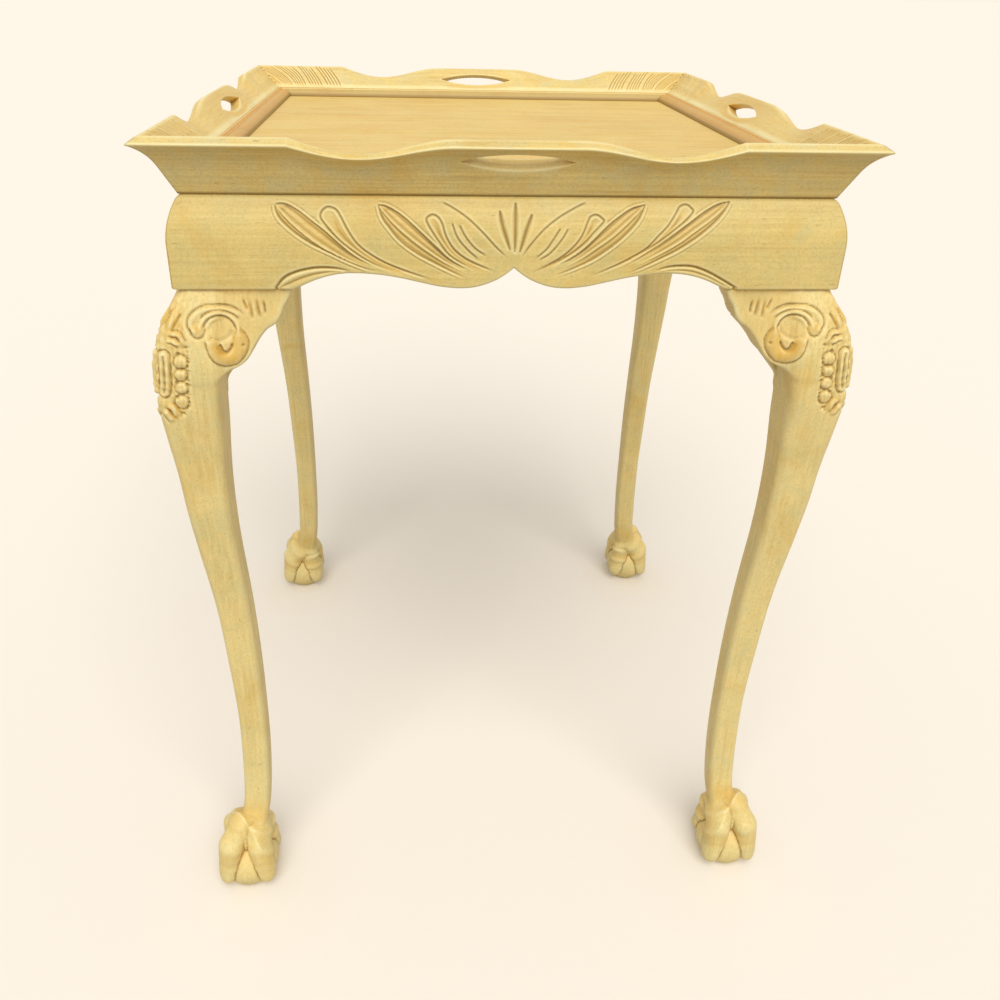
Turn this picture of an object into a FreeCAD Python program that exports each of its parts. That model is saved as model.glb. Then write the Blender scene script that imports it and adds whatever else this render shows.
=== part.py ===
"""Tray top tea table: a lift-off galleried tray on a carved cabriole stand.

Frame: millimetres, +Z up, the floor at z = 0, the origin below the middle of the tray.
The table is square in plan.  Every side piece is drawn once on the front side, where it
is described by its outset (how far it stands outside the base line, towards -Y) and its
height, and every corner piece once at the front left corner, where it is described by
its inset from the base line on both sides.  Quarter turns about Z make the others.
"""
import FreeCAD
import Part
import math
import os
from FreeCAD import Vector

os.makedirs("parts", exist_ok=True)

# ---------------------------------------------------------------- driving dimensions
BASE = 460.0                # outside width of the tray's foot and of the apron's top
STAND_HEIGHT = 670.0        # floor to the top of the apron

# tray
PANEL_THICKNESS = 12.0
GALLERY_FOOT = 8.0          # width of the gallery board where it stands on the apron
GALLERY_HEIGHT = 41.0       # up to the inner top arris
GALLERY_SEAT = 20.0         # height of the upright part of its inner face
RIM_OUTER_HEIGHT = 35.5     # up to the outer top arris
RIM_OUTSET = 24.0           # outer top arris outside the base line
RIM_WIDTH = 8.0             # outer to inner top arris, seen from above
FLARE_START_OUTSET = 9.0    # where the straight lower part of the outer face
FLARE_START_HEIGHT = 20.0   # turns into the outward sweep
SHOULDER_AT = 152.0         # end of the level corner stretch, from the middle of a side
DIP_AT = 107.0              # lowest point of the scalloped rim
CREST_HALF = 42.0           # half the level stretch over the hand hole
DIP_DEPTH = 10.5            # how far the inner arris dips
BEAD_WIDTH = 14.0
BEAD_HEIGHT = 8.0
BEAD_FILLET = 2.5           # flat fillet along the top of the bead
BEAD_QUIRK = 2.2            # depth of the step between fillet and round

# hand holes
HAND_HOLE_LENGTH = 79.0
HAND_HOLE_HEIGHT = 13.5
HAND_HOLE_TILT = 30.0       # degrees; the hole rises towards the inside
HAND_HOLE_OUTSET = 7.5
HAND_HOLE_LEVEL = 27.3      # its middle above the apron's top

# battens under the tray
BATTEN_WIDTH = 22.0
BATTEN_DEPTH = 14.0
BATTEN_SIDE_GAP = 1.5       # to the inner face of the apron
BATTEN_END_GAP = 2.0        # to the leg posts
NAIL_STEP = 140.0           # from nail to nail along a batten
NAIL_LENGTH = 23.0
NAIL_SHANK = 2.0            # side of its square section
NAIL_HEAD = 5.0
NAIL_HEAD_DEPTH = 1.2

# apron
APRON_DEPTH = 65.0
APRON_INNER = 14.0          # inset of the inner face
APRON_BULGE = 10.0          # outset of the widest part of the outer face
APRON_ROUND = 34.0          # height of the rounded upper part
APRON_EASE = 1.5            # radius along the lower arris
CUSP_RISE = 16.0            # heights of the shaped lower edge above its ends
LOBE_RISE = 1.0
ARCH_RISE = 12.0
LOBE_AT = 38.0              # from the middle of the side
ARCH_AT = 115.0

# leg
EAR_REACH = 73.0            # inset of the tip of the knee block
EAR_DEPTH = 57.5            # how far the ear reaches down beside the knee
EAR_BACK = 18.0             # inset of the ear's flat back
EAR_SLOPE = 0.12            # the knee block's face swells out this much per drop
POST_INNER = 47.0           # inset of the leg stock's inner sides
POST_LENGTH = 55.0          # part of the leg inside the apron
LEG_TOP_OUTSET = 6.0
KNEE_OUTSET = 28.0
KNEE_BACK = 20.0            # inset of the leg's inner side behind the knee
KNEE_DROP = 68.0            # from the apron's lower edge to the widest part of the knee
SHAFT_FACETS = 2            # flats that round each arris of the shaft
FOOT_FACETS = 3             # and each talon
ANKLE_HALF = 12.0           # half the width of the leg above the foot
ANKLE_LEVEL = 102.0         # where the foot begins
FOOT_OUTSET = 10.0          # centre of the foot outside the corner of the base
BALL_RADIUS = 27.0
BALL_LEVEL = 20.0           # where the squat ball is widest
SOLE_RADIUS = 20.0          # flat underside of the ball
TALON_REACH = 24.0          # from the foot's axis to the middle of a talon
TALON_RADIUS = 10.6

# corner blocks
BLOCK_HEIGHT = 28.0
BLOCK_REACH = 96.0          # inset of the block's ends along the aprons
BLOCK_DROP = 18.0           # from the apron's top to the block's top

# ---------------------------------------------------------------- derived values
HALF = BASE / 2.0
APRON_BOTTOM = STAND_HEIGHT - APRON_DEPTH
KNEE_LEVEL = APRON_BOTTOM - KNEE_DROP
FLOOR_LEVEL = STAND_HEIGHT + PANEL_THICKNESS
RIM_INNER_OUTSET = RIM_OUTSET - RIM_WIDTH
FAR = 2.0 * BASE            # longer than any piece, for cutters

SIDES = ["front", "right", "rear", "left"]
CORNERS = ["front_left", "front_right", "rear_right", "rear_left"]


# ---------------------------------------------------------------- helpers
def side_point(along, outset, height):
    """A point on the front side, from its outset and its height above the floor."""
    return Vector(along, -(HALF + outset), height)


def corner_point(inset_x, inset_y, height):
    """A point at the front left corner, from its two insets."""
    return Vector(-HALF + inset_x, -HALF + inset_y, height)


def line(start, end):
    return Part.LineSegment(start, end).toShape()


def arc(start, middle, end):
    return Part.Arc(start, middle, end).toShape()


def closed_face(edges):
    return Part.Face(Part.Wire(edges))


def polygon_face(points):
    return Part.Face(Part.makePolygon(points + [points[0]]))


def turned(shape, quarters):
    """The same piece on another side or corner of the table."""
    copy = shape.copy()
    copy.rotate(Vector(0, 0, 0), Vector(0, 0, 1), 90.0 * quarters)
    return copy


def mirrored_across_corner(shape):
    """Swap X and Y: from the front side to the left side of the front left corner."""
    return shape.mirror(Vector(0, 0, 0), Vector(1, -1, 0))


def one_solid(shape):
    """The single solid of a boolean's result, with split faces joined again."""
    solids = shape.removeSplitter().Solids
    if len(solids) != 1:
        raise ValueError("expected one solid, found %d" % len(solids))
    return solids[0]


def mitre_wedge():
    """Everything between the two corner diagonals on the front side."""
    base = polygon_face([Vector(0, 0, 0), Vector(-FAR, -FAR, 0), Vector(FAR, -FAR, 0)])
    return base.extrude(Vector(0, 0, FAR))


def export(name, shape):
    shape.exportStep("parts/%s.step" % name)
    print("%-28s %d solid(s)" % (name, len(shape.Solids)))


# ---------------------------------------------------------------- gallery
def rim_drop(along):
    """How far the inner arris lies below the level corner stretch."""
    distance = abs(along)
    if distance <= CREST_HALF or distance >= SHOULDER_AT:
        return 0.0
    if distance <= DIP_AT:
        share = (distance - CREST_HALF) / (DIP_AT - CREST_HALF)
        return DIP_DEPTH * (1.0 - math.cos(math.pi * share)) / 2.0
    share = (SHOULDER_AT - distance) / (SHOULDER_AT - DIP_AT)
    return DIP_DEPTH * math.sin(math.pi / 2.0 * share)


def gallery_section(along):
    """Section of a gallery board: upright foot, sloping inner face, swept outer face."""
    drop = rim_drop(along)
    low = 1.0 - 0.8 * drop / RIM_OUTER_HEIGHT
    narrow = 1.0 - 0.36 * drop / RIM_OUTSET

    def at(outset, height):
        return side_point(along, outset, STAND_HEIGHT + height)

    foot_outer = at(0, 0)
    foot_inner = at(-GALLERY_FOOT, 0)
    seat = at(-GALLERY_FOOT, GALLERY_SEAT)
    inner_arris = at(RIM_INNER_OUTSET - 0.19 * drop, GALLERY_HEIGHT - drop)
    outer_arris = at(RIM_OUTSET * narrow, RIM_OUTER_HEIGHT * low)
    flare_start = at(FLARE_START_OUTSET * narrow, FLARE_START_HEIGHT * low)
    sweep_outset = 0.59 * FLARE_START_OUTSET + 0.41 * RIM_OUTSET
    sweep_height = 0.41 * FLARE_START_HEIGHT + 0.59 * RIM_OUTER_HEIGHT
    sweep = at(sweep_outset * narrow, sweep_height * low)
    return Part.Wire([line(foot_outer, foot_inner), line(foot_inner, seat),
                      line(seat, inner_arris), line(inner_arris, outer_arris),
                      arc(outer_arris, sweep, flare_start), line(flare_start, foot_outer)])


def gallery_stretch(stations):
    return Part.makeLoft([gallery_section(station) for station in stations], True, True)


def even_steps(start, end, count):
    return [start + (end - start) * step / count for step in range(count + 1)]


def gallery_board():
    """Level corners, two dips and a level crest, mitred, with a hand hole."""
    tip = HALF + RIM_OUTSET + 1.0
    dip = even_steps(CREST_HALF, DIP_AT, 4) + even_steps(DIP_AT, SHOULDER_AT, 3)[1:]
    board = gallery_stretch([-CREST_HALF, CREST_HALF])
    for sign in (-1, 1):
        board = board.fuse(gallery_stretch([sign * station for station in dip]))
        board = board.fuse(gallery_stretch([sign * SHOULDER_AT, sign * tip]))
    board = board.common(mitre_wedge())
    return one_solid(board.cut(hand_hole()))


def hand_hole():
    """A pointed oval cut square to the slanting board."""
    tilt = math.radians(HAND_HOLE_TILT)
    centre = side_point(0, HAND_HOLE_OUTSET, STAND_HEIGHT + HAND_HOLE_LEVEL)
    outward = Vector(0, -math.cos(tilt), -math.sin(tilt))
    upward = Vector(0, -math.sin(tilt), math.cos(tilt))
    reach = 2.0 * RIM_OUTSET

    def at(along, up):
        return centre + Vector(along, 0, 0) + upward * up - outward * (reach / 2.0)

    left = at(-HAND_HOLE_LENGTH / 2.0, 0)
    right = at(HAND_HOLE_LENGTH / 2.0, 0)
    outline = [arc(left, at(0, HAND_HOLE_HEIGHT / 2.0), right),
               arc(right, at(0, -HAND_HOLE_HEIGHT / 2.0), left)]
    return closed_face(outline).extrude(outward * reach)


# ---------------------------------------------------------------- tray panel and bead
def tray_panel():
    width = BASE - 2.0 * GALLERY_FOOT
    corner = Vector(-width / 2.0, -width / 2.0, STAND_HEIGHT)
    panel = Part.makeBox(width, width, PANEL_THICKNESS, corner)
    for quarters in (0, 2):
        for one in nails():
            panel = panel.cut(turned(one, quarters))
    return one_solid(panel)


def bead():
    """Moulding in the angle between the panel and the gallery: fillet, quirk and round."""
    outer = -GALLERY_FOOT
    fillet = outer - BEAD_FILLET
    inner = outer - BEAD_WIDTH
    quirk_level = BEAD_HEIGHT - BEAD_QUIRK

    def at(outset, height):
        return side_point(-HALF, outset, FLOOR_LEVEL + height)

    crown = at(fillet - 0.45 * (fillet - inner), 0.95 * quirk_level)
    edges = [line(at(outer, 0), at(outer, BEAD_HEIGHT)),
             line(at(outer, BEAD_HEIGHT), at(fillet, BEAD_HEIGHT)),
             line(at(fillet, BEAD_HEIGHT), at(fillet, quirk_level)),
             arc(at(fillet, quirk_level), crown, at(inner, 0)),
             line(at(inner, 0), at(outer, 0))]
    strip = closed_face(edges).extrude(Vector(BASE, 0, 0))
    return one_solid(strip.common(mitre_wedge()))


# ---------------------------------------------------------------- battens
def batten_middle():
    return -(HALF - APRON_INNER - BATTEN_SIDE_GAP - BATTEN_WIDTH / 2.0)


def nails():
    """Square cut nails, driven up through the front batten into the panel."""
    level = STAND_HEIGHT - BATTEN_DEPTH

    def square_bar(along, side, length):
        corner = Vector(along - side / 2.0, batten_middle() - side / 2.0, level)
        return Part.makeBox(side, side, length, corner)

    return [square_bar(step * NAIL_STEP, NAIL_SHANK, NAIL_LENGTH).fuse(
        square_bar(step * NAIL_STEP, NAIL_HEAD, NAIL_HEAD_DEPTH)) for step in (-1, 0, 1)]


def batten():
    """Strip under the front edge of the panel, between the leg posts."""
    length = BASE - 2.0 * (POST_INNER + BATTEN_END_GAP)
    low = Vector(-length / 2.0, batten_middle() - BATTEN_WIDTH / 2.0,
                 STAND_HEIGHT - BATTEN_DEPTH)
    strip = Part.makeBox(length, BATTEN_WIDTH, BATTEN_DEPTH, low)
    for one in nails():
        strip = strip.cut(one)
    return one_solid(strip)


# ---------------------------------------------------------------- apron
def apron_section():
    """Thick board with a rounded, bulging outer face."""
    widest = STAND_HEIGHT - APRON_ROUND
    radius = (APRON_BULGE ** 2 + APRON_ROUND ** 2) / (2.0 * APRON_BULGE)
    middle = widest + 0.6 * APRON_ROUND
    middle_outset = APRON_BULGE - radius + math.sqrt(radius ** 2 - (middle - widest) ** 2)
    slack = APRON_EASE * (1.0 - math.sqrt(0.5))

    def at(outset, height):
        return side_point(-FAR / 2.0, outset, height)

    edges = [arc(at(0, STAND_HEIGHT), at(middle_outset, middle), at(APRON_BULGE, widest)),
             line(at(APRON_BULGE, widest), at(APRON_BULGE, APRON_BOTTOM + APRON_EASE)),
             arc(at(APRON_BULGE, APRON_BOTTOM + APRON_EASE),
                 at(APRON_BULGE - slack, APRON_BOTTOM + slack),
                 at(APRON_BULGE - APRON_EASE, APRON_BOTTOM)),
             line(at(APRON_BULGE - APRON_EASE, APRON_BOTTOM), at(-APRON_INNER, APRON_BOTTOM)),
             line(at(-APRON_INNER, APRON_BOTTOM), at(-APRON_INNER, STAND_HEIGHT)),
             line(at(-APRON_INNER, STAND_HEIGHT), at(0, STAND_HEIGHT))]
    return closed_face(edges)


def bow(start, end, level_end):
    """An arc between two points, level at its start or at its end."""
    flat, other = (start, end) if level_end == "start" else (end, start)
    run = other.x - flat.x
    rise = other.z - flat.z
    radius = (run ** 2 + rise ** 2) / (2.0 * rise)
    half_run = run / 2.0
    half_rise = radius - math.copysign(math.sqrt(radius ** 2 - half_run ** 2), radius)
    return arc(start, Vector(flat.x + half_run, flat.y, flat.z + half_rise), end)


def lower_edge(sign, plane_y):
    """Half of the shaped lower edge, from the middle cusp to the knee block."""
    def at(along, rise):
        return Vector(sign * along, plane_y, APRON_BOTTOM + rise)

    cusp = at(0, CUSP_RISE)
    lobe = at(LOBE_AT, LOBE_RISE)
    turn = at((LOBE_AT + ARCH_AT) / 2.0, (LOBE_RISE + ARCH_RISE) / 2.0)
    arch = at(ARCH_AT, ARCH_RISE)
    end = at(HALF - EAR_REACH, 0)
    return [bow(cusp, lobe, "end"), bow(lobe, turn, "start"), bow(turn, arch, "end"),
            bow(arch, end, "start")]


def edge_cutter():
    """The openwork below the shaped edge."""
    plane_y = -(HALF + FAR / 2.0)
    low = APRON_BOTTOM - APRON_DEPTH
    reach = HALF - EAR_REACH
    right = lower_edge(1, plane_y)
    left = lower_edge(-1, plane_y)
    corners = [Vector(reach, plane_y, APRON_BOTTOM), Vector(reach, plane_y, low),
               Vector(-reach, plane_y, low), Vector(-reach, plane_y, APRON_BOTTOM)]
    skirt = [line(a, b) for a, b in zip(corners, corners[1:])]
    outline = Part.Wire(Part.__sortEdges__(right + skirt + left))
    return Part.Face(outline).extrude(Vector(0, FAR, 0))


def apron_board():
    board = apron_section().extrude(Vector(FAR, 0, 0))
    return one_solid(board.common(mitre_wedge()).cut(edge_cutter()))


# ---------------------------------------------------------------- leg
def lobed_section(height, centre, reach, radius, spread, side, facets):
    """Section of a leg, four times symmetric round a point on the corner's diagonal.

    Each corner is a round lobe, `reach` from the centre and turning `spread` radians
    either way from the diagonal, cut in `facets` flats.  With `side` given, the section
    passes that far from its centre between two lobes.
    """
    diagonal = math.pi / 4.0
    quarter = []
    for step in range(facets + 1):
        angle = diagonal - spread + 2.0 * spread * step / facets
        quarter.append((reach * math.cos(diagonal) + radius * math.cos(angle),
                        reach * math.sin(diagonal) + radius * math.sin(angle)))
    if side is not None:
        quarter.append((0.0, side))
    points = []
    for cosine, sine in [(1, 0), (0, 1), (-1, 0), (0, -1)]:
        points += [corner_point(centre + cosine * x - sine * y,
                                centre + sine * x + cosine * y, height) for x, y in quarter]
    return points


def square_section(height, outer, inner, radius, side=None, facets=SHAFT_FACETS):
    """A square between two insets, its arrises rounded."""
    half = (inner - outer) / 2.0
    reach = math.sqrt(2.0) * (half - radius)
    return lobed_section(height, outer + half, reach, radius, math.pi / 4.0, side, facets)


def foot_section(height, centre, ball, reach, radius):
    """Four talons round the ball: each is a circle that meets the ball's circle."""
    depth = (ball ** 2 - reach ** 2 - radius ** 2) / (2.0 * reach)
    spread = math.acos(max(depth / radius, -0.8))
    return lobed_section(height, centre, reach, radius, spread, ball, FOOT_FACETS)


def ball_radius_at(height):
    return math.sqrt(BALL_RADIUS ** 2 - (height - BALL_LEVEL) ** 2)


def skinned(sections, degree):
    """A solid whose skin flows lengthwise along sections of equally many points."""
    spans = len(sections) - degree
    inner_knots = [1] * (spans - 1)
    faces = []
    for first in range(len(sections[0])):
        second = (first + 1) % len(sections[0])
        skin = Part.BSplineSurface()
        skin.buildFromPolesMultsKnots(
            [[section[first] for section in sections], [section[second] for section in sections]],
            [2, 2], [degree + 1] + inner_knots + [degree + 1],
            [0.0, 1.0], [float(knot) for knot in range(spans + 1)], False, False, 1, degree)
        faces.append(skin.toShape())
    faces += [polygon_face(sections[0]), polygon_face(sections[-1])]
    shell = Part.makeShell(faces)
    shell.sewShape()
    return Part.makeSolid(shell)


def leg_shaft():
    """The S curve of the leg, from under the apron to the ankle."""
    def level(share):
        return ANKLE_LEVEL + share * (KNEE_LEVEL - ANKLE_LEVEL)

    stations = [
        # height, outer inset, inner inset, radius of the arrises
        (APRON_BOTTOM, -LEG_TOP_OUTSET, KNEE_BACK, 4.0),
        (APRON_BOTTOM - 0.4 * KNEE_DROP, -KNEE_OUTSET + 6, KNEE_BACK, 7.0),
        (level(1.02), -KNEE_OUTSET - 2, KNEE_BACK, 8.5),
        (level(0.925), -KNEE_OUTSET, KNEE_BACK - 5, 8.5),
        (level(0.81), -22.6, 13.0, 7.5),
        (level(0.65), -17.2, 12.6, 6.5),
        (level(0.455), -8.8, 18.0, 6.0),
        (level(0.2), -6.3, 18.8, 5.0),
        (ANKLE_LEVEL, 1.0 - ANKLE_HALF, 1.0 + ANKLE_HALF, 5.0)]
    return skinned([square_section(*station) for station in stations], 3)


def leg_foot():
    """Claw and ball: four toes with two knuckles each, and the ball between them."""
    centre = -FOOT_OUTSET
    ball_top = BALL_LEVEL + BALL_RADIUS
    upper = BALL_LEVEL + 10.0
    lower = BALL_LEVEL - 7.0

    def level(share):
        return ball_top + share * (ANKLE_LEVEL - ball_top)

    talons = [
        # height, centre, web or ball between the talons, reach and radius of a talon
        (level(0.75), centre + 7.0, ANKLE_HALF + 1, TALON_REACH - 17.0, TALON_RADIUS - 2.0),
        (level(0.42), centre + 2.5, ANKLE_HALF + 3, TALON_REACH - 12.0, TALON_RADIUS - 1.0),
        (level(0.09), centre, ANKLE_HALF + 5, TALON_REACH - 6.5, TALON_RADIUS),
        (upper, centre, ball_radius_at(upper), TALON_REACH, TALON_RADIUS + 0.2),
        (lower, centre, ball_radius_at(lower), TALON_REACH + 3.3, TALON_RADIUS - 2.4),
        (0, centre, SOLE_RADIUS, TALON_REACH + 1.0, TALON_RADIUS - 5.6)]
    ankle = square_section(ANKLE_LEVEL, 1.0 - ANKLE_HALF, 1.0 + ANKLE_HALF, 5.0,
                           ANKLE_HALF, FOOT_FACETS)
    return skinned([ankle] + [foot_section(*station) for station in talons], 2)


def knee_bulge(height):
    """Outset of the knee's outer side, from the apron down to the ear's lower end."""
    share = (APRON_BOTTOM - height) / (APRON_BOTTOM - KNEE_LEVEL)
    return LEG_TOP_OUTSET + (KNEE_OUTSET - LEG_TOP_OUTSET) * math.sin(math.pi / 2.0 * share)


def ear_body():
    """Thickness of the ear: it swells out towards the knee, the back is flat."""
    top = APRON_BOTTOM
    bottom = KNEE_LEVEL
    swell = [(6.0, 0.86), (KNEE_BACK, 0.8), ((KNEE_BACK + POST_INNER) / 2.0, 0.52),
             (POST_INNER, None), (EAR_REACH + 2.0, None)]
    wires = []
    for inset, share in swell:
        along = -HALF + inset
        outline = [side_point(along, -EAR_BACK, bottom), side_point(along, -EAR_BACK, top)]
        for height in even_steps(top, bottom, 4):
            if share is None:
                bulge = EAR_SLOPE * (top - height)
            else:
                bulge = share * (knee_bulge(height) - LEG_TOP_OUTSET)
            outline.append(side_point(along, LEG_TOP_OUTSET + bulge, height))
        wires.append(polygon_face(outline).OuterWire)
    return Part.makeLoft(wires, True, True)


def ear_outline():
    """Front view of the ear: a scrolled bracket between the apron and the knee."""
    plane_y = -(HALF + FAR / 4.0)

    def at(inset, drop):
        return Vector(-HALF + inset, plane_y, APRON_BOTTOM - drop)

    tip = at(EAR_REACH, 0)
    notch = at(0.835 * EAR_REACH, 0.36 * EAR_DEPTH)
    turn = at(0.63 * EAR_REACH, 0.62 * EAR_DEPTH)
    root = at(KNEE_BACK, EAR_DEPTH)
    inside = at(0, EAR_DEPTH)
    inside_top = at(0, 0)
    outline = [arc(tip, at(0.93 * EAR_REACH, 0.2 * EAR_DEPTH), notch),
               arc(notch, at(0.745 * EAR_REACH, 0.44 * EAR_DEPTH), turn),
               arc(turn, at(0.49 * EAR_REACH, 0.87 * EAR_DEPTH), root),
               line(root, inside), line(inside, inside_top), line(inside_top, tip)]
    return closed_face(outline).extrude(Vector(0, FAR / 2.0, 0))


def ear():
    return ear_body().common(ear_outline())


def slab(low_inset, high_inset):
    """The stretch of the front side between two insets, at the front left corner."""
    corner = Vector(-HALF + low_inset, -FAR, 0)
    return Part.makeBox(high_inset - low_inset, FAR, FAR, corner)


def knee_block():
    """The end of the ear, glued to the flat side of the leg stock."""
    return one_solid(ear().common(slab(POST_INNER, EAR_REACH + 5.0)))


def leg():
    """Post, knee, ankle and claw-and-ball foot, cut from one length of stock."""
    root = APRON_BOTTOM - 0.6 * EAR_DEPTH
    post_width = POST_INNER - APRON_INNER
    post = Part.makeBox(post_width, post_width, POST_LENGTH + APRON_BOTTOM - root,
                        corner_point(APRON_INNER, APRON_INNER, root))
    back_top = polygon_face([corner_point(x, y, root) for x, y in
                             [(APRON_INNER, APRON_INNER), (POST_INNER, APRON_INNER),
                              (POST_INNER, POST_INNER), (APRON_INNER, POST_INNER)]])
    back_low = KNEE_BACK - 4.0
    back_bottom = polygon_face([corner_point(x, y, KNEE_LEVEL - 8.0) for x, y in
                                [(0, 0), (back_low, 0), (back_low, back_low), (0, back_low)]])
    back = Part.makeLoft([back_top.OuterWire, back_bottom.OuterWire], True, True)
    wing = ear().common(slab(0, POST_INNER))
    whole = leg_shaft().fuse([leg_foot(), post, back, wing, mirrored_across_corner(wing)])
    return one_solid(whole)


# ---------------------------------------------------------------- corner blocks
def corner_block():
    """Five-sided block in the inner corner, notched round the leg post."""
    low = STAND_HEIGHT - BLOCK_DROP - BLOCK_HEIGHT

    def at(inset_x, inset_y):
        return corner_point(inset_x, inset_y, low)

    plan = [at(APRON_INNER, POST_INNER), at(APRON_INNER, BLOCK_REACH),
            at(BLOCK_REACH, APRON_INNER), at(POST_INNER, APRON_INNER),
            at(POST_INNER, POST_INNER)]
    return polygon_face(plan).extrude(Vector(0, 0, BLOCK_HEIGHT))


# ---------------------------------------------------------------- the whole table
def build():
    board = gallery_board()
    strip = bead()
    apron = apron_board()
    ear_block = knee_block()
    for quarter, side in enumerate(SIDES):
        export("gallery_" + side, turned(board, quarter))
        export("tray_bead_" + side, turned(strip, quarter))
        export("apron_" + side, turned(apron, quarter))

    export("tray_panel", tray_panel())
    export("tray_batten_front", batten())
    export("tray_batten_rear", turned(batten(), 2))
    export("batten_nails", Part.makeCompound([turned(one, quarters)
                                              for quarters in (0, 2) for one in nails()]))

    corner_leg = leg()
    block = corner_block()
    for quarter, corner in enumerate(CORNERS):
        export("leg_" + corner, turned(corner_leg, quarter))
        export("corner_block_" + corner, turned(block, quarter))
        side, start = SIDES[quarter], SIDES[quarter - 1]
        export("knee_block_%s_%s" % (side, start), turned(ear_block, quarter))
        export("knee_block_%s_%s" % (start, side),
               turned(mirrored_across_corner(ear_block), quarter))


build()
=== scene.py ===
# %% [markdown]
# # A carved tray top tea table
# This lesson dresses a small square tea table: a lift-off tray with a scalloped gallery,
# standing on a carved stand with claw-and-ball feet.  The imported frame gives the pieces,
# their sizes and how the tray lifts.  Here each visible board is made again with its
# carving and its softened edges, and every wood gets its colour, grain and wear.

# %% Open the frame
import math

import bpy
import numpy as np
from mathutils import Matrix, Vector


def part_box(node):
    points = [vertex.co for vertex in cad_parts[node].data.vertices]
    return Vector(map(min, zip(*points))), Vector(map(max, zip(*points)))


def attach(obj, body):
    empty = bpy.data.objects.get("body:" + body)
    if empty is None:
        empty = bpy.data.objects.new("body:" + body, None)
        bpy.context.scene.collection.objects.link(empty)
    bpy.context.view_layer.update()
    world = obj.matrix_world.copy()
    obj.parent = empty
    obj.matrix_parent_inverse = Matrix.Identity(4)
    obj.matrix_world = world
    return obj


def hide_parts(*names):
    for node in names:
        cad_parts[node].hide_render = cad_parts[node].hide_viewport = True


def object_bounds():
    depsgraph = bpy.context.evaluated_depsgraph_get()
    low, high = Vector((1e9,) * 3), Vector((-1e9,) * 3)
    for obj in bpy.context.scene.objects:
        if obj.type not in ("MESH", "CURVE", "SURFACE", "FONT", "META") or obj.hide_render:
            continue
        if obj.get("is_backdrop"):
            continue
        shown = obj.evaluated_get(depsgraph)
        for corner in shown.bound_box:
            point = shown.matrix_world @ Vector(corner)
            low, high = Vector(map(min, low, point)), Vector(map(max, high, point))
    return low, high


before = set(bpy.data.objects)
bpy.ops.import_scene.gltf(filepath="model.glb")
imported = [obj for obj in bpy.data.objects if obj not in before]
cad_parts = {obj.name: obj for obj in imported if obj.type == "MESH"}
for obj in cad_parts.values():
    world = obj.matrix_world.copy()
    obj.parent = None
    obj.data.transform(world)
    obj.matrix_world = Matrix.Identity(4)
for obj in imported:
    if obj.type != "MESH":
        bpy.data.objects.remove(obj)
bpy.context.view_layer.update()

# %% [markdown]
# The sizes come from the frame, in millimetres, so that the new boards stand exactly
# where the plain ones did.  A side piece is described by its *outset*, which is how far
# it stands outside the square that the tray's foot draws on the apron, and by its height.

# %% Read the sizes off the frame
MM = 0.001


def box_mm(node):
    low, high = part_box(node)
    return np.array(low) / MM, np.array(high) / MM


gallery_high = box_mm("gallery_front")[1]
panel_high = box_mm("tray_panel")[1]
apron_low, apron_high = box_mm("apron_front")
bead_low, bead_high = box_mm("tray_bead_front")

GALLERY_FOOT = 8.0                           # thickness of the gallery's foot
HALF = panel_high[0] + GALLERY_FOOT          # the base line, from the middle
STAND_TOP = apron_high[2]
APRON_BOTTOM = apron_low[2]
APRON_DEPTH = STAND_TOP - APRON_BOTTOM
APRON_BULGE = apron_high[0] - HALF
APRON_BACK = -HALF - apron_high[1]           # outset of its back
FLOOR_LEVEL = panel_high[2]
RIM_OUTSET = gallery_high[0] - HALF
RIM_TOP = gallery_high[2] - STAND_TOP
BEAD_WIDE, BEAD_TALL = (bead_high - bead_low)[1:]
POST_TOP = box_mm("leg_front_left")[1][2]
print("base line %.1f, stand %.1f, tray floor %.1f, rim %.1f out and %.1f up"
      % (HALF, STAND_TOP, FLOOR_LEVEL, RIM_OUTSET, RIM_TOP))

# %% [markdown]
# ## Shapes from sections
# A gallery or an apron is one board with a moulded section, mitred at both ends.  The
# section is placed at many stations along the board, and quads join one to the next, so
# the carving can be pressed straight into the points.  First come the curves.

# %% Helpers for curves
def smooth_curve(points, steps=8):
    """A Catmull-Rom curve through a few drawn points."""
    p = np.asarray(points, float)
    ends = np.vstack([2 * p[0] - p[1], p, 2 * p[-1] - p[-2]])
    out = []
    for a, b, c, d in zip(ends, ends[1:], ends[2:], ends[3:]):
        for t in np.arange(steps) / steps:
            out.append(0.5 * (2 * b + (c - a) * t + (2 * a - 5 * b + 4 * c - d) * t * t
                              + (3 * b - a - 3 * c + d) * t ** 3))
    return np.array(out + [p[-1]])


def bent(start, corner, end, shares):
    """Points of a curve that runs from start to end and is pulled towards a corner."""
    t = np.asarray(shares)[:, None]
    return (1 - t) ** 2 * start + 2 * t * (1 - t) * corner + t * t * end


def eased(points, radii, steps=5):
    """A polyline whose corners are rounded, each by its own radius."""
    p = np.asarray(points, float)
    out = [p[:1]]
    for i in range(1, len(p) - 1):
        if i not in radii:
            out.append(p[i:i + 1])
            continue
        back, on = p[i - 1] - p[i], p[i + 1] - p[i]
        out.append(bent(p[i] + back * radii[i] / np.linalg.norm(back), p[i],
                        p[i] + on * radii[i] / np.linalg.norm(on), np.linspace(0, 1, steps)))
    return np.vstack(out + [p[-1:]])


def spread(points, count):
    """The same polyline with evenly spaced points."""
    length = np.r_[0, np.cumsum(np.linalg.norm(np.diff(points, axis=0), axis=1))]
    at = np.linspace(0, length[-1], count)
    return np.stack([np.interp(at, length, column) for column in points.T], 1)


print("a square eased to", len(eased([(0, 0), (9, 0), (9, 9), (0, 9)], {1: 2, 2: 2})), "points")

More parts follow.
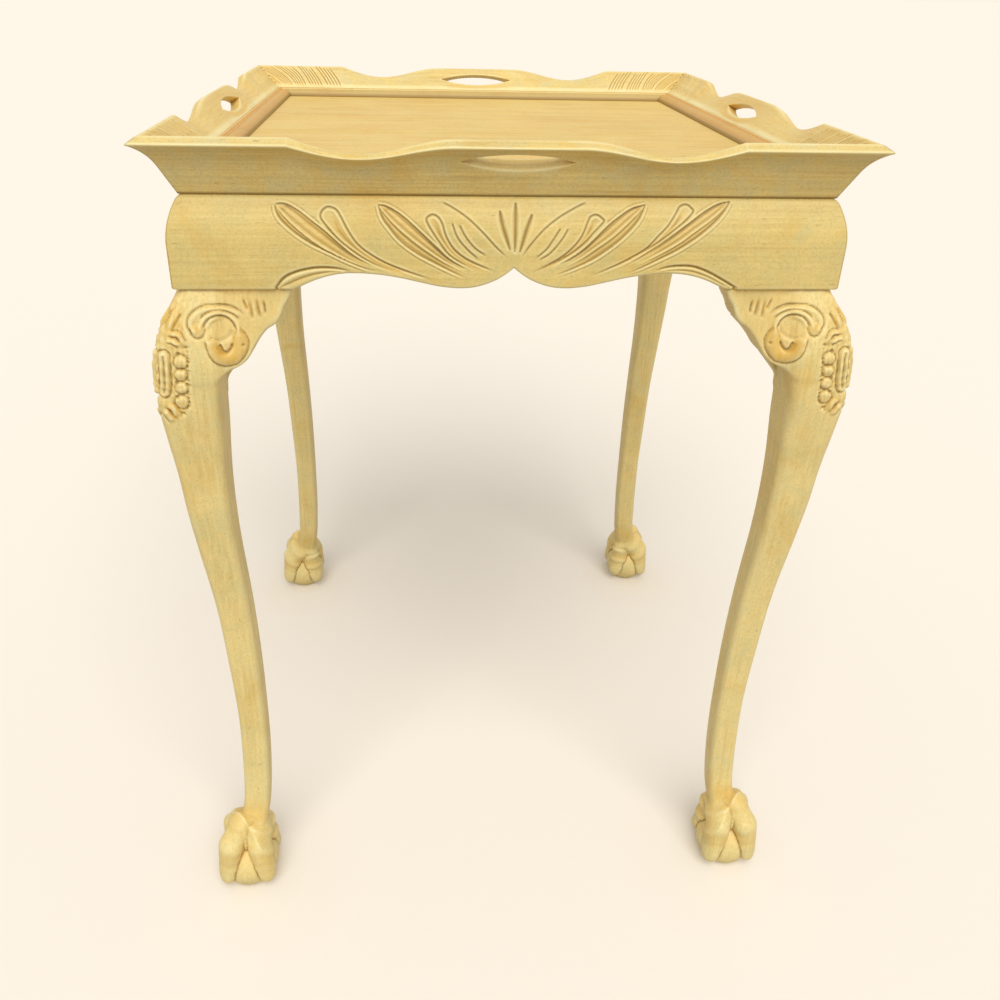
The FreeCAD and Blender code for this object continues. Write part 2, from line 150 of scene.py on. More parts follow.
# %% [markdown]
# A board's mesh is a grid of points, so its faces follow from the two counts.  Where two
# strips of rows meet in one place, their points are welded, so that no seam is shaded.

# %% Helpers for swept boards
MITRE = 30.0                                 # length that is stretched to meet the diagonal


def sweep_faces(stations, ring):
    """Quads of a closed ring carried along its stations, and the two end caps."""
    index = np.arange(stations * ring).reshape(stations, ring)
    after = np.roll(index, -1, axis=1)
    quads = np.stack([index[:-1], after[:-1], after[1:], index[1:]], -1).reshape(-1, 4)
    return quads, [index[0][::-1].tolist(), index[-1].tolist()]


def to_mitre(along, outset):
    """Stretch a board's ends so that its moulded face meets the next one's."""
    beyond = np.clip(np.abs(along) - HALF + MITRE, 0, None) / MITRE
    return np.sign(along) * (np.minimum(np.abs(along), HALF - MITRE)
                             + beyond * (outset + MITRE))


def weld(points, quads):
    """Join points that lie in one place and drop the quads that close up."""
    _, first, same = np.unique(np.round(points, 3), axis=0, return_index=True,
                               return_inverse=True)
    same = same.reshape(-1)
    quads = same[quads]
    sides = quads != np.roll(quads, -1, axis=1)
    faces = [q[s].tolist() for q, s in zip(quads, sides) if s.sum() > 2]
    return points[first], faces, same


print("a box swept over 3 stations has", len(sweep_faces(3, 4)[0]), "quads")

# %% [markdown]
# The same skin, smoothed a little, tells the crests of the carving from its hollows: what
# stands above it is rubbed by hands, and what lies below it keeps dust and stain and gets
# painted shade.

# %% Helpers that tell crests from hollows
def smoothed(points, faces, rounds):
    """The points after each has moved halfway to its neighbours, so many times."""
    if isinstance(faces, list):
        a, b = np.hstack([(face, np.roll(face, -1)) for face in faces])
    else:
        a, b = faces.T.ravel(), np.roll(faces, -1, axis=1).T.ravel()
    count = np.bincount(a, minlength=len(points)) + np.bincount(b, minlength=len(points))
    for _ in range(rounds):
        total = np.stack([np.bincount(a, points[b, k], len(points))
                          + np.bincount(b, points[a, k], len(points)) for k in range(3)], 1)
        points = 0.5 * points + 0.5 * total / count[:, None]
    return points


def outward(points, faces):
    """Volume of a skin, negative when it is wound inside out, and its point normals."""
    f = np.array([face[:3] for face in faces])
    normal = np.cross(points[f[:, 1]] - points[f[:, 0]], points[f[:, 2]] - points[f[:, 0]])
    volume = (points[f[:, 0]] * normal).sum() / 3
    total = np.stack([sum(np.bincount(f[:, k], normal[:, axis], len(points))
                          for k in range(3)) for axis in range(3)], 1)
    return volume, total / (np.linalg.norm(total, axis=1, keepdims=True) + 1e-9)


def crest_and_hollow(points, faces, rounds, full):
    """Height over the surroundings, +1 or -1 where it is the full height or depth in mm."""
    volume, normals = outward(points, faces)
    above = ((points - smoothed(points, faces, rounds)) * normals).sum(1)
    return np.clip(np.sign(volume) * above / full, -1, 1)


corners = np.array([(x, y, z) for x in (0.0, 2) for y in (0.0, 2) for z in (0.0, 2)])
sides = np.array([(0, 1, 3, 2), (4, 6, 7, 5), (0, 4, 5, 1), (2, 3, 7, 6), (0, 2, 6, 4),
                  (1, 5, 7, 3)])
print("corner of a cube:", crest_and_hollow(corners, sides, rounds=1, full=2.0)[0].round(2))

# %% [markdown]
# A finished piece rides on its body, so that the tray's boards lift together, and stands
# in for the plain pieces it covers.  A skin that is wound inside out would be shaded
# wrongly, so its signed volume is looked at before the mesh is made.

# %% Make a piece of the table
SIDES = ["front", "right", "rear", "left"]
CORNERS = ["front_left", "front_right", "rear_right", "rear_left"]


def mesh_piece(name, points, faces, body, nodes, relief, stain, quarters):
    """A mesh in metres, turned to its side, that replaces its plain nodes."""
    if outward(points, faces)[0] < 0:
        faces = [face[::-1] for face in faces]
    for _ in range(quarters):
        points = np.column_stack([-points[:, 1], points[:, 0], points[:, 2]])
    mesh = bpy.data.meshes.new(name)
    mesh.from_pydata((points * MM).tolist(), [], faces)
    mesh.update()
    for key, values in (("relief", relief), ("stain", stain)):
        layer = mesh.attributes.new(key, "FLOAT", "POINT")
        layer.data.foreach_set("value", np.ascontiguousarray(values, np.float32))
    mesh.polygons.foreach_set("use_smooth", np.ones(len(mesh.polygons), bool))
    piece = bpy.data.objects.new(name, mesh)
    bpy.context.scene.collection.objects.link(piece)
    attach(piece, body)
    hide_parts(*nodes)
    return piece


def on_four_sides(name, node, body, points, faces, relief, stain):
    """The same board on every side of the table, in place of the plain ones."""
    return [mesh_piece(name + side, points, faces, body, [node + side], relief, stain, quarters)
            for quarters, side in enumerate(SIDES)]


# %% [markdown]
# ## A carver's strokes
# Low relief carving is a few kinds of cut, repeated: a V groove, a rounded reed between
# two grooves, and a hollow leaf with a raised midrib.  Each is written as a height that
# depends on the distance to a drawn line, so one set of strokes serves every board.

# %% Strokes: distance to a line, and the profile cut along it
def line_distance(x, y, path):
    """Distance to a path, which side of it (+ is left), and how far along (0 to 1)."""
    best = np.full(x.shape, 1e9)
    side = np.zeros(x.shape)
    along = np.zeros(x.shape)
    lengths = np.r_[0, np.cumsum(np.linalg.norm(np.diff(path, axis=0), axis=1))]
    for p, q, passed in zip(path, path[1:], lengths):
        d = q - p
        t = np.clip(((x - p[0]) * d[0] + (y - p[1]) * d[1]) / (d @ d), 0, 1)
        gx, gy = x - p[0] - t * d[0], y - p[1] - t * d[1]
        distance = np.hypot(gx, gy)
        near = distance < best
        best = np.where(near, distance, best)
        side = np.where(near, np.sign(d[0] * gy - d[1] * gx), side)
        along = np.where(near, (passed + t * np.linalg.norm(d)) / lengths[-1], along)
    return best, side, along


def stroke(x, y, drawn, steps=8):
    """The same for a smooth line through a few drawn points."""
    return line_distance(x, y, smooth_curve(drawn, steps))


def rise_and_fall(along, lead, tail):
    """1 in the middle of a stroke, easing to 0 at its two ends."""
    start = np.clip(along / lead, 0, 1) if lead else 1.0
    end = np.clip((1 - along) / tail, 0, 1) if tail else 1.0
    both = start * end
    return both * both * (3 - 2 * both)


def groove(distance, depth, half_width, at=0.0):
    """A V cut along the line, or at some distance from it."""
    return -depth * np.clip(1 - np.abs(distance - at) / half_width, 0, 1)


def reed(distance, height, half_width, at=0.0):
    """A rounded ridge along the line, or at some distance from it."""
    return height * np.clip(1 - ((distance - at) / half_width) ** 2, 0, 1)


def wash(distance, reach, full=1.0):
    """Stain that thins out from the line; it stays full for longer above 1."""
    return np.clip(full - distance / reach, 0, 1)


def bell(distance, width):
    """1 on the line, fading softly on both sides."""
    return np.exp(-(distance / width) ** 2)


print("reed across 3 mm:", reed(np.linspace(-1.5, 1.5, 5), 1.0, 1.5).round(2))

# %% [markdown]
# ## The aprons
# The apron is a thick board with a rounded, bulging face and a lower edge cut to a cusp,
# two lobes and two arches.  Its face is carved with long leaves, hooked tendrils and a
# little fan over the cusp.  The carver worked by eye, so the left half runs longer than
# the right one.  Both are drawn in millimetres from the middle and below the top edge.

# %% Draw the apron's carving
left_half = dict(
    rays=[[(0, 4.5), (0, 37)], [(11, 9.5), (9, 19), (3.5, 35.5)]],
    husk_edge=[(52, 3.5), (43, 8), (33, 14.5), (22, 24.5), (13.5, 33.5), (4, 42)],
    husk_cuts=[[(39.5, 18), (34.5, 27), (27.5, 35), (19, 40.5)],
               [(44.5, 16.5), (40.5, 27), (33, 36), (24.5, 43)]],
    tendrils=[
        # inner side of the stem, hook over the head, outer side of the stem
        ([(24.5, 51.5), (35.5, 46.5), (45.5, 40), (51.5, 32.5), (57, 24.5)],
         [(61.5, 17), (61.5, 14), (58, 12), (54, 13.5), (51, 18)],
         [(48.5, 26), (43, 35), (34.5, 42), (23, 47.5), (11, 52)]),
        ([(81, 52), (93.5, 48), (104.5, 43), (113.5, 36.5), (121.5, 30), (129, 21.5)],
         [(134, 15), (134, 11), (131, 8), (128, 7.5), (124, 9), (121, 13)],
         [(115.5, 23.5), (110, 31.5), (102.5, 38), (92, 44.5), (78, 50.5), (54, 58.5)])],
    leaves=[
        # upper edge, midrib and lower edge, from the tip to the foot of the leaf
        ([(95.5, 5.5), (89.5, 6.5), (81.5, 10.5), (73.5, 16.5), (63.5, 25.5), (54, 34.5),
          (47, 41), (38.5, 46.5), (27, 51.5)],
         [(95.5, 5.5), (84.5, 17.5), (73.5, 27), (62.5, 35.5), (50, 44), (38.5, 50),
          (30, 54.5)],
         [(95.5, 5.5), (93, 14), (88.5, 20.5), (80.5, 30), (69.5, 38.5), (57, 45.5),
          (44, 52), (31.5, 57.5)]),
        ([(165.5, 5.5), (160, 5), (155, 6.5), (148, 10.5), (140, 16.5), (131, 23.5),
          (121.5, 32), (114, 38.5), (104.5, 44.5), (93.5, 49)],
         [(165.5, 5.5), (156.5, 15.5), (146, 25), (135.5, 33), (125, 39.5), (114, 45),
          (100, 50)],
         [(165.5, 5.5), (164.5, 11.5), (160.5, 17.5), (151.5, 25.5), (141, 32.5), (129, 38.5),
          (117, 44.5), (104.5, 49.5), (93.5, 52)])],
    arch_lip=[(169, 64.5), (162, 56), (153, 51.5), (142, 49), (132.5, 48.5),
              (122.5, 49.5), (112, 52)])
right_half = dict(
    rays=[[(0, 4.5), (0, 37)], [(11.5, 11.5), (7.5, 23), (3.5, 37.5)]],
    husk_edge=[(51, 3), (41, 7.5), (29.5, 14), (19.5, 22), (10.5, 32.5), (4, 42.5)],
    husk_cuts=[[(32, 20), (27, 28), (22, 35.5), (14, 42.5)],
               [(37.5, 20), (33, 28), (25, 38), (15.5, 44)]],
    tendrils=[
        ([(10, 52.5), (20, 48.5), (31, 42.5), (40.5, 34.5), (47, 25.5)],
         [(51, 15.5), (53, 12.5), (57, 11.5), (60.5, 13.5), (62, 16)],
         [(55.5, 23), (50, 29.5), (42, 36.5), (32.5, 43), (21.5, 49)]),
        ([(52, 55.5), (67.5, 49), (81, 42.5), (93.5, 34.5), (101, 26), (108, 18.5)],
         [(113.5, 10), (116, 6), (120.5, 4.5), (124, 6.5), (125.5, 9.5)],
         [(118, 17), (111, 23), (103, 29.5), (95, 35), (84, 41.5)])],
    leaves=[
        ([(92, 4.5), (82, 7), (73.5, 12), (65, 18.5), (57, 26.5), (49, 34.5),
          (39.5, 41.5), (27, 48)],
         [(92, 4.5), (79, 16.5), (68.5, 26), (57.5, 34), (46.5, 42), (32.5, 49.5)],
         [(92, 4.5), (87.5, 14.5), (79.5, 24), (69, 33.5), (56.5, 42.5), (43, 49),
          (26, 55.5)]),
        ([(153, 2), (143.5, 4), (133.5, 9), (125, 15), (116.5, 21), (107, 28),
          (97.5, 35), (87, 42), (76, 48)],
         [(153, 2), (139.5, 13.5), (128, 21.5), (117.5, 29.5), (106.5, 36.5), (95.5, 42.5),
          (84.5, 48.5)],
         [(153, 2), (146.5, 11.5), (138, 20), (127.5, 28.5), (115.5, 36.5), (103, 43),
          (90.5, 49), (79.5, 53.5)])],
    arch_lip=[(165, 64.5), (152, 57), (139, 50.5), (127, 47), (112, 47.5), (98, 51.5)])

print("apron drawing:", len(left_half["leaves"] + right_half["leaves"]), "leaves")

# %% [markdown]
# The leaf is the hardest cut: its two edges are outlined, it is hollowed down from both
# sides of a midrib, and a small gouge leaves flutes.  A tendril is one long outline with
# a hollow core.  Each gives its height and the stain that was left in it.

# %% Cut the apron's outline, its leaves and its tendrils
def lower_edge(x):
    """The shaped lower edge, above the apron's bottom: cusp, lobe, arch and end."""
    knots = [(0, 16), (6, 11.2), (14, 6.4), (26, 2.2), (38, 1), (52, 2.2), (66, 5.2), (82, 8.8),
             (98, 11.2), (115, 12), (128, 10.6), (140, 7.2), (150, 2.8), (157, 0)]
    fine = smooth_curve(knots, 6)
    return np.interp(np.abs(x), fine[:, 0], fine[:, 1], right=0.0)


def carve_leaf(x, drop, upper, midrib, lower):
    """A leaf hollowed on both sides of its midrib and fluted with a small gouge."""
    top, rib, low = (stroke(x, drop, drawn) for drawn in (upper, midrib, lower))
    inside = (top[1] < 0) & (low[1] > 0) & (top[2] < 0.999) & (low[2] < 0.999)
    fade = inside * rise_and_fall(1 - rib[2], 0.35, 0) * np.clip(rib[2] * 12, 0, 1)
    above = rib[1] > 0
    edge = np.where(above, top[0], low[0])
    share = edge / (edge + rib[0] + 1e-6)
    hollow = np.sin(np.pi * share ** 0.7) ** 0.8
    flutes = 0.5 - 0.5 * np.cos(4 * np.pi * share)
    relief = fade * (reed(rib[0], 0.5, 0.8) - np.where(above, 1.3, 0.9) * hollow - 0.45 * flutes)
    for distance, side, along in ((top[0], top[1], top[2]), (low[0], -low[1], low[2])):
        off = distance * side
        relief += rise_and_fall(along, 0.02, 0.22) * (
            reed(off, 0.3, 0.9, at=0.7) + groove(off, 1.0, 0.8, at=-0.4)
            + groove(off, 0.45, 0.7, at=2.1))
    return relief, fade * (0.25 + 0.6 * hollow * flutes)


def carve_tendril(x, drop, inner, hook, outer):
    """One line runs up the stem, over the head and down again; the core is hollowed."""
    distance, _, along = stroke(x, drop, inner + hook + outer, 5)
    relief = rise_and_fall(along, 0.2, 0.15) * (
        groove(distance, 1.2, 0.9) + reed(distance, 0.3, 0.9, at=1.7))
    core = (spread(np.array(inner[::-1]), 9) + spread(np.array(outer), 9)) / 2
    distance, _, along = line_distance(x, drop, np.vstack([hook[len(hook) // 2], core]))
    fade = rise_and_fall(along, 0.25, 0.25)
    return relief + fade * groove(distance, 0.7, 3.2), 0.75 * fade * wash(distance, 3.4, 1.1)


print("lower edge at the cusp and the arch:", lower_edge(np.array([0.0, 115.0])).round(1))

# %% [markdown]
# Each half starts with the fan over the cusp and ends with the moulded lip that follows
# the arch.  The two halves meet in the middle of the fan, where they are blended.

# %% Carve the apron's two halves
ARCH_FROM, ARCH_SHORT_OF = 96.0, 50.0        # the lip's stretch, from the middle and the end
DEEPEST, HIGHEST = -2.4, 1.3                 # limits of the carving


def carve_half(x, drop, drawing):
    """Height and stain of one half's carving, in millimetres."""
    relief = np.zeros(x.shape)
    stain = np.zeros(x.shape)

    # the fan: narrow leaf shaped hollows
    for ray in drawing["rays"]:
        distance, _, along = stroke(x, drop, ray)
        inside = wash(distance, 0.5 + 2.3 * np.sin(np.pi * along ** 0.8) ** 0.8)
        relief -= 1.7 * inside
        stain += 0.45 * inside

    # plain incised lines beside the fan
    for cut in [drawing["husk_edge"]] + drawing["husk_cuts"]:
        distance, side, along = stroke(x, drop, cut)
        relief += rise_and_fall(along, 0.08, 0.2) * (
            groove(distance, 1.15, 0.9) + reed(distance * side, 0.3, 0.9, at=1.7))

    cuts = [carve_leaf(x, drop, *leaf) for leaf in drawing["leaves"]]
    cuts += [carve_tendril(x, drop, *tendril) for tendril in drawing["tendrils"]]
    for cut_relief, cut_stain in cuts:
        relief += cut_relief
        stain += cut_stain

    # the moulded lip of the arch, two beads that widen towards the leg
    arch = np.arange(ARCH_FROM, HALF - ARCH_SHORT_OF, 2.0)
    edge = np.column_stack([arch, APRON_DEPTH - lower_edge(arch)])
    lip, side, along = stroke(x, drop, drawing["arch_lip"])
    share = lip / (lip + line_distance(x, drop, edge)[0] + 1e-6)
    below = (side < 0) & (along > 0.001) & (along < 0.999)
    fade = below * np.clip((1 - along) * 3, 0, 1)
    relief += fade * 0.9 * (np.abs(np.sin(2 * np.pi * share)) - 1)
    relief += rise_and_fall(along, 0.02, 0.3) * groove(lip, 2.2, 1.4)
    stain += 0.25 * fade
    return np.clip(relief, DEEPEST, HIGHEST), np.clip(stain, 0, 1)


def carve_apron(x, drop):
    """Both halves, blended over 2 mm in the middle."""
    left, right = carve_half(-x, drop, left_half), carve_half(x, drop, right_half)
    share = np.clip(0.5 + x / 2.0, 0, 1)
    return [(1 - share) * a + share * b for a, b in zip(left, right)]


print("depth in the fan's middle:", carve_apron(np.array([0.0]), np.array([20.0]))[0].round(1))

# %% [markdown]
# The board is swept along its length at 0.7 mm steps, close enough for the finest cut.
# The face swells like a cushion, which throws a soft light along the carving; its top
# arris is eased, so a fine dark joint stays visible under the tray.  The ends are mitred,
# as the boards meet at the corners of the table.

# %% Build the aprons
SWELL = 34.0                                 # depth of the swelling, below the top edge
EDGE_ROUND = 2.2                             # rounding of the lower arris
BACK_ROUND = 1.0                             # chamfer of the arrises at the back
FACE_ROWS, FACE_STEP = 96, 0.7


def bulge(drop):
    """Outset of the apron's face: an arc down to the widest part, then upright."""
    radius = (APRON_BULGE ** 2 + SWELL ** 2) / (2 * APRON_BULGE)
    rest = np.clip(SWELL - drop, 0, None)
    return APRON_BULGE - radius + np.sqrt(radius ** 2 - rest ** 2)


def build_apron():
    half = np.arange(0, HALF + 0.01, FACE_STEP)
    x = np.r_[-half[:0:-1], half]
    edge = (APRON_DEPTH - lower_edge(x))[:, None]
    top = 0 * edge

    # the carved face, plain at its ends and along the joint under the tray
    drop = np.linspace(0, 1, FACE_ROWS) * (edge - EDGE_ROUND)
    along = np.repeat(x[:, None], FACE_ROWS, 1)
    relief, stain = carve_apron(along, drop)
    relief *= np.clip((HALF - 3 - np.abs(along)) / 4, 0, 1) * np.clip((drop - 0.4) / 1.2, 0, 1)
    outset = bulge(drop) + relief - 1.5 * bell(drop, 1.5)

    # round the lower arris, along the underside, up the back and over the top
    turn = np.linspace(0, math.pi / 2, 7)[1:]
    round_out = outset[:, -1:] - EDGE_ROUND * (1 - np.cos(turn))
    round_drop = drop[:, -1:] + EDGE_ROUND * np.sin(turn)
    rest = [(2.0, edge), (-5.0, edge), (APRON_BACK + BACK_ROUND, edge),
            (APRON_BACK, edge - BACK_ROUND), (APRON_BACK, edge / 2),
            (APRON_BACK, top + BACK_ROUND), (APRON_BACK + BACK_ROUND, top), (-5.0, top)]
    outset = np.hstack([outset, round_out] + [top + out for out, _ in rest])
    drop = np.hstack([drop, round_drop] + [down for _, down in rest])
    stain = np.pad(stain, ((0, 0), (0, outset.shape[1] - FACE_ROWS)))

    along = to_mitre(np.repeat(x[:, None], outset.shape[1], 1), outset)
    points = np.stack([along, -(HALF + outset), STAND_TOP - drop], -1)
    return points.reshape(-1, 3), *sweep_faces(*outset.shape), stain.reshape(-1)


apron_points, apron_quads, apron_caps, apron_stain = build_apron()
apron_relief = crest_and_hollow(apron_points, apron_quads, rounds=14, full=0.35)
below_top = STAND_TOP - apron_points[:, 2]
apron_relief -= 1.2 * bell(below_top, 2.1)                   # painted shade in the joint and under the tray's overhang
apron_relief -= 0.7 * bell(below_top - APRON_DEPTH, 1.0)     # and painted shade in the joint along the lowest arris, over the legs
aprons = on_four_sides("carved_apron_", "apron_", "stand", apron_points,
                       apron_quads.tolist() + apron_caps, apron_relief, apron_stain)
print("apron:", len(apron_points), "points")

# %% [markdown]
# ## The galleries
# The gallery leans outwards and its top edge dips on both sides of a crest.  Through the
# crest goes the hand hole, a pointed oval cut square to the board.  First the section: a
# straight foot, a hollow flare, an arris at the rim and a sloping back.

# %% Lay out the gallery's section
SHOULDER, DIP, CREST = 152.0, 107.0, 42.0    # where the rim turns, from the middle
DIP_DEPTH = 10.5
FLARE_OUTSET, FLARE_LEVEL = 9.0, 20.0        # where the foot ends and the flare begins
TIP_LEVEL = 35.5                             # the flare's outer end, under the rim
FLARE_HOLLOW = 0.09                          # how far its middle stays back, as a share
RIM_WIDE = 8.0                               # width of the rim's sloping top, in plan
BACK_LEVEL = 20.0                            # where the sloping back meets the foot
HOLE_HALF, HOLE_HEIGHT, HOLE_TILT = 39.5, 13.5, math.radians(30)
HOLE_OUTSET, HOLE_LEVEL = 7.5, 27.3          # the hole's middle


def rim_drop(x):
    """How far the rim lies below its full height."""
    d = np.abs(x)
    inner = DIP_DEPTH * (1 - np.cos(np.pi * np.clip((d - CREST) / (DIP - CREST), 0, 1))) / 2
    outer = DIP_DEPTH * np.sin(np.pi / 2 * np.clip((SHOULDER - d) / (SHOULDER - DIP), 0, 1))
    return np.where(d <= DIP, inner, outer)


def gallery_section(x):
    """The section at one station, from the foot up the front and down the back."""
    drop = float(rim_drop(x))
    squash = np.array([1 - 0.36 * drop / RIM_OUTSET, 1 - 0.8 * drop / TIP_LEVEL])
    start = squash * [FLARE_OUTSET, FLARE_LEVEL]
    tip = squash * [RIM_OUTSET, TIP_LEVEL]
    middle = start + (tip - start) * [0.5 - FLARE_HOLLOW, 0.5 + FLARE_HOLLOW]
    flare = bent(start, 2 * middle - (start + tip) / 2, tip, np.linspace(0, 1, 14))
    arris = (RIM_OUTSET - RIM_WIDE - 0.19 * drop, RIM_TOP - drop)
    profile = np.vstack([(0, 0), flare, arris, (-GALLERY_FOOT, BACK_LEVEL)])
    return eased(profile, {len(flare): 1.5, len(flare) + 1: 2.6}, 7)


def hole_half_height(x):
    """Half the height of the pointed oval, between two arcs."""
    if abs(x) >= HOLE_HALF:
        return 0.0
    half = HOLE_HEIGHT / 2
    radius = (HOLE_HALF ** 2 + half ** 2) / (2 * half)
    return float(np.sqrt(radius ** 2 - x ** 2)) - (radius - half)


print("section:", len(gallery_section(0.0)), "points, hole", 2 * hole_half_height(0.0), "mm high")

# %% [markdown]
# The section is laid out as rows below and above the hole, on the outer and the inner
# face.  Past the hole's points those rows meet and are welded, and between them a wall of
# rows goes through the board, rounded over where it meets the faces.

# %% Rows of the gallery, around the hand hole
ROWS_BELOW, ROWS_ABOVE, BACK_ROWS_BELOW, BACK_ROWS_ABOVE = 14, 30, 10, 26
HOLE_ROUND = 1.6                             # rounding of the hole's arrises


def up_the_board(p):
    """Height along the leaning board, from the middle of the hole."""
    return (p[..., 0] - HOLE_OUTSET) * math.sin(HOLE_TILT) \
        + (p[..., 1] - HOLE_LEVEL) * math.cos(HOLE_TILT)


def point_at(profile, levels):
    """Points of a face where it crosses the given levels up the board."""
    up = up_the_board(profile)
    return np.stack([np.interp(levels, up, column) for column in profile.T], -1)


def gallery_rows(x):
    """Rows of one station by name: the two faces, the foot and the walls of the hole."""
    section = gallery_section(x)
    top = int(np.argmax(section[:, 1]))
    outer, inner = spread(section[:top + 1], 400), spread(section[top:], 400)[::-1]
    half = hole_half_height(x)
    lip = min(HOLE_ROUND, 0.45 * half)

    def below(face, count):
        return point_at(face, np.linspace(up_the_board(face)[0], -half - lip, count))

    def above(face, count):
        rest = face[up_the_board(face) >= half + lip]
        return spread(np.vstack([point_at(face, [half + lip]), rest]), count)

    def wall(level, sign):
        """Rounded over from the outer face, through the board, to the inner face."""
        enter, leave = (point_at(face, [level + sign * lip])[0] for face in (outer, inner))
        start, end = (point_at(face, [level])[0] for face in (outer, inner))
        run = lip * (end - start) / np.linalg.norm(end - start)
        shares = np.linspace(0, 1, 6)
        return np.vstack([bent(enter, start, start + run, shares[1:]),
                          start + run + np.outer(shares[1:-1], end - start - 2 * run),
                          bent(end - run, end, leave, shares[:-1])])

    under = [(-GALLERY_FOOT, 15), (-GALLERY_FOOT, 6), (-GALLERY_FOOT + 0.5, 0), (-4, 0)]
    return {"below": below(outer, ROWS_BELOW), "above": above(outer, ROWS_ABOVE),
            "back above": above(inner, BACK_ROWS_ABOVE)[::-1][1:],
            "back below": below(inner, BACK_ROWS_BELOW)[::-1], "foot": np.array(under, float),
            "wall above": wall(half, 1), "wall below": wall(-half, -1)}


print("rows of the gallery:", {name: len(rows) for name, rows in gallery_rows(0.0).items()})

# %% [markdown]
# At the corners the inner face is cut with short feathered strokes in groups that run
# down towards the middle of the side, with a warm stain left in them.

# %% Feathered cuts and warm stain on the gallery's inner face
FEATHER_FROM, FEATHER_GROUP, FEATHER_STROKE = 148.0, 21.0, 3.5
FEATHER_FOOT = 14.0                          # lowest level of the strokes
FEATHER_DEPTH = 0.8
SLOPE = math.radians(41)                     # of the inner face


def feather_cuts(x, height):
    """Depth of the gouge strokes on the inner face near the mitres, 0 to 1."""
    v = (height - FEATHER_FOOT) / (RIM_TOP - FEATHER_FOOT)
    lean = np.abs(x) - 7 - 20 * (v - 0.5) - 10 * (v - 0.5) ** 2    # curved, down to the middle
    widening = 1 + 0.004 * np.clip(lean - 170, 0, None)
    group = (lean - FEATHER_FROM) * widening / FEATHER_GROUP
    inside = group - np.floor(group)
    band = (inside > 0.03) & (inside < 0.84) & (group > 0)
    off_line = (inside * FEATHER_GROUP) % FEATHER_STROKE - FEATHER_STROKE / 2
    reach = rise_and_fall(np.clip(v + 0.08 * np.sin(group * 2 * np.pi), 0, 1), 0.35, 0.1)
    return band * wash(np.abs(off_line), 1.35) * reach


def warm_wash(x, height):
    """Where the gallery's inner face kept a warmer stain: the mitres, the hole's edge."""
    mitre = np.clip((np.abs(x) - HALF + 34) / 30, 0, 1)
    up = (height - HOLE_LEVEL) / math.cos(HOLE_TILT)
    ring = np.hypot(x / (HOLE_HALF + 7), up / (HOLE_HEIGHT + 1))
    return 0.55 * mitre + 0.6 * np.clip(1.15 - ring, 0, 0.6)


print("stroke at a corner:", feather_cuts(np.array([200.0]), np.array([25.0])).round(2))

# %% [markdown]
# The stations stand close together at the hole and at the feathered corners, where the
# form is fine, and wider on the plain stretch between them.

# %% Build the galleries
FINE_STEP, PLAIN_STEP = 0.62, 1.5


def build_gallery():
    hole = HOLE_HALF * np.sin(np.linspace(0, np.pi / 2, 34))
    half = np.r_[hole, np.arange(HOLE_HALF + 1.2, SHOULDER - 8, PLAIN_STEP),
                 np.arange(SHOULDER - 8, HALF + 0.01, FINE_STEP)]
    half[-1] = HALF
    x = np.r_[-half[:0:-1], half]
    columns = [gallery_rows(float(station)) for station in x]
    rows = {name: np.array([column[name] for column in columns]) for name in columns[0]}

    # press the feathers into the inner face, square to its slope
    marks = {}
    for name in ("back above", "back below"):
        level = rows[name][..., 1]
        cut = feather_cuts(x[:, None], level)
        marks[name] = np.clip(0.9 * cut + warm_wash(x[:, None], level), 0, 1)
        rows[name] -= FEATHER_DEPTH * cut[..., None] * [-math.sin(SLOPE), math.cos(SLOPE)]

    # quads all round the board, but for the two strips that the hole takes
    order = ["below", "above", "back above", "back below", "foot"]
    ring = np.concatenate([rows[name] for name in order], 1)
    stain = np.hstack([marks.get(name, np.zeros(rows[name].shape[:2])) for name in order])
    count = ring.shape[1]
    starts = np.cumsum([0] + [rows[name].shape[1] for name in order])
    index = np.arange(len(x) * count).reshape(len(x), count)
    after = np.roll(index, -1, axis=1)
    keep = ~np.isin(np.arange(count), [starts[1] - 1, starts[3] - 1])
    quads = [np.stack([index[:-1, keep], after[:-1, keep], after[1:, keep], index[1:, keep]],
                      -1).reshape(-1, 4)]

    # the two walls of the hole
    flat, along = ring.reshape(-1, 2), np.repeat(x, count)
    inside = np.abs(x) <= HOLE_HALF + 1e-6
    for name, first, last in (("wall above", starts[1], starts[3] - 1),
                              ("wall below", starts[1] - 1, starts[3])):
        wall = rows[name][inside]
        ids = len(flat) + np.arange(wall.shape[0] * wall.shape[1]).reshape(wall.shape[:2])
        ids = np.hstack([index[inside][:, [first]], ids, index[inside][:, [last]]])
        sheet = np.stack([ids[:-1, :-1], ids[:-1, 1:], ids[1:, 1:], ids[1:, :-1]], -1)
        sheet = sheet.reshape(-1, 4)
        quads.append(sheet if name == "wall below" else sheet[:, ::-1])
        flat = np.vstack([flat, wall.reshape(-1, 2)])
        along = np.r_[along, np.repeat(x[inside], wall.shape[1])]
    stain = np.r_[stain.ravel(), np.zeros(len(flat) - stain.size)]
    outset, height = flat.T
    points = np.column_stack([to_mitre(along, outset), -(HALF + outset), STAND_TOP + height])
    return points, np.concatenate(quads), [index[0][::-1], index[-1]], stain


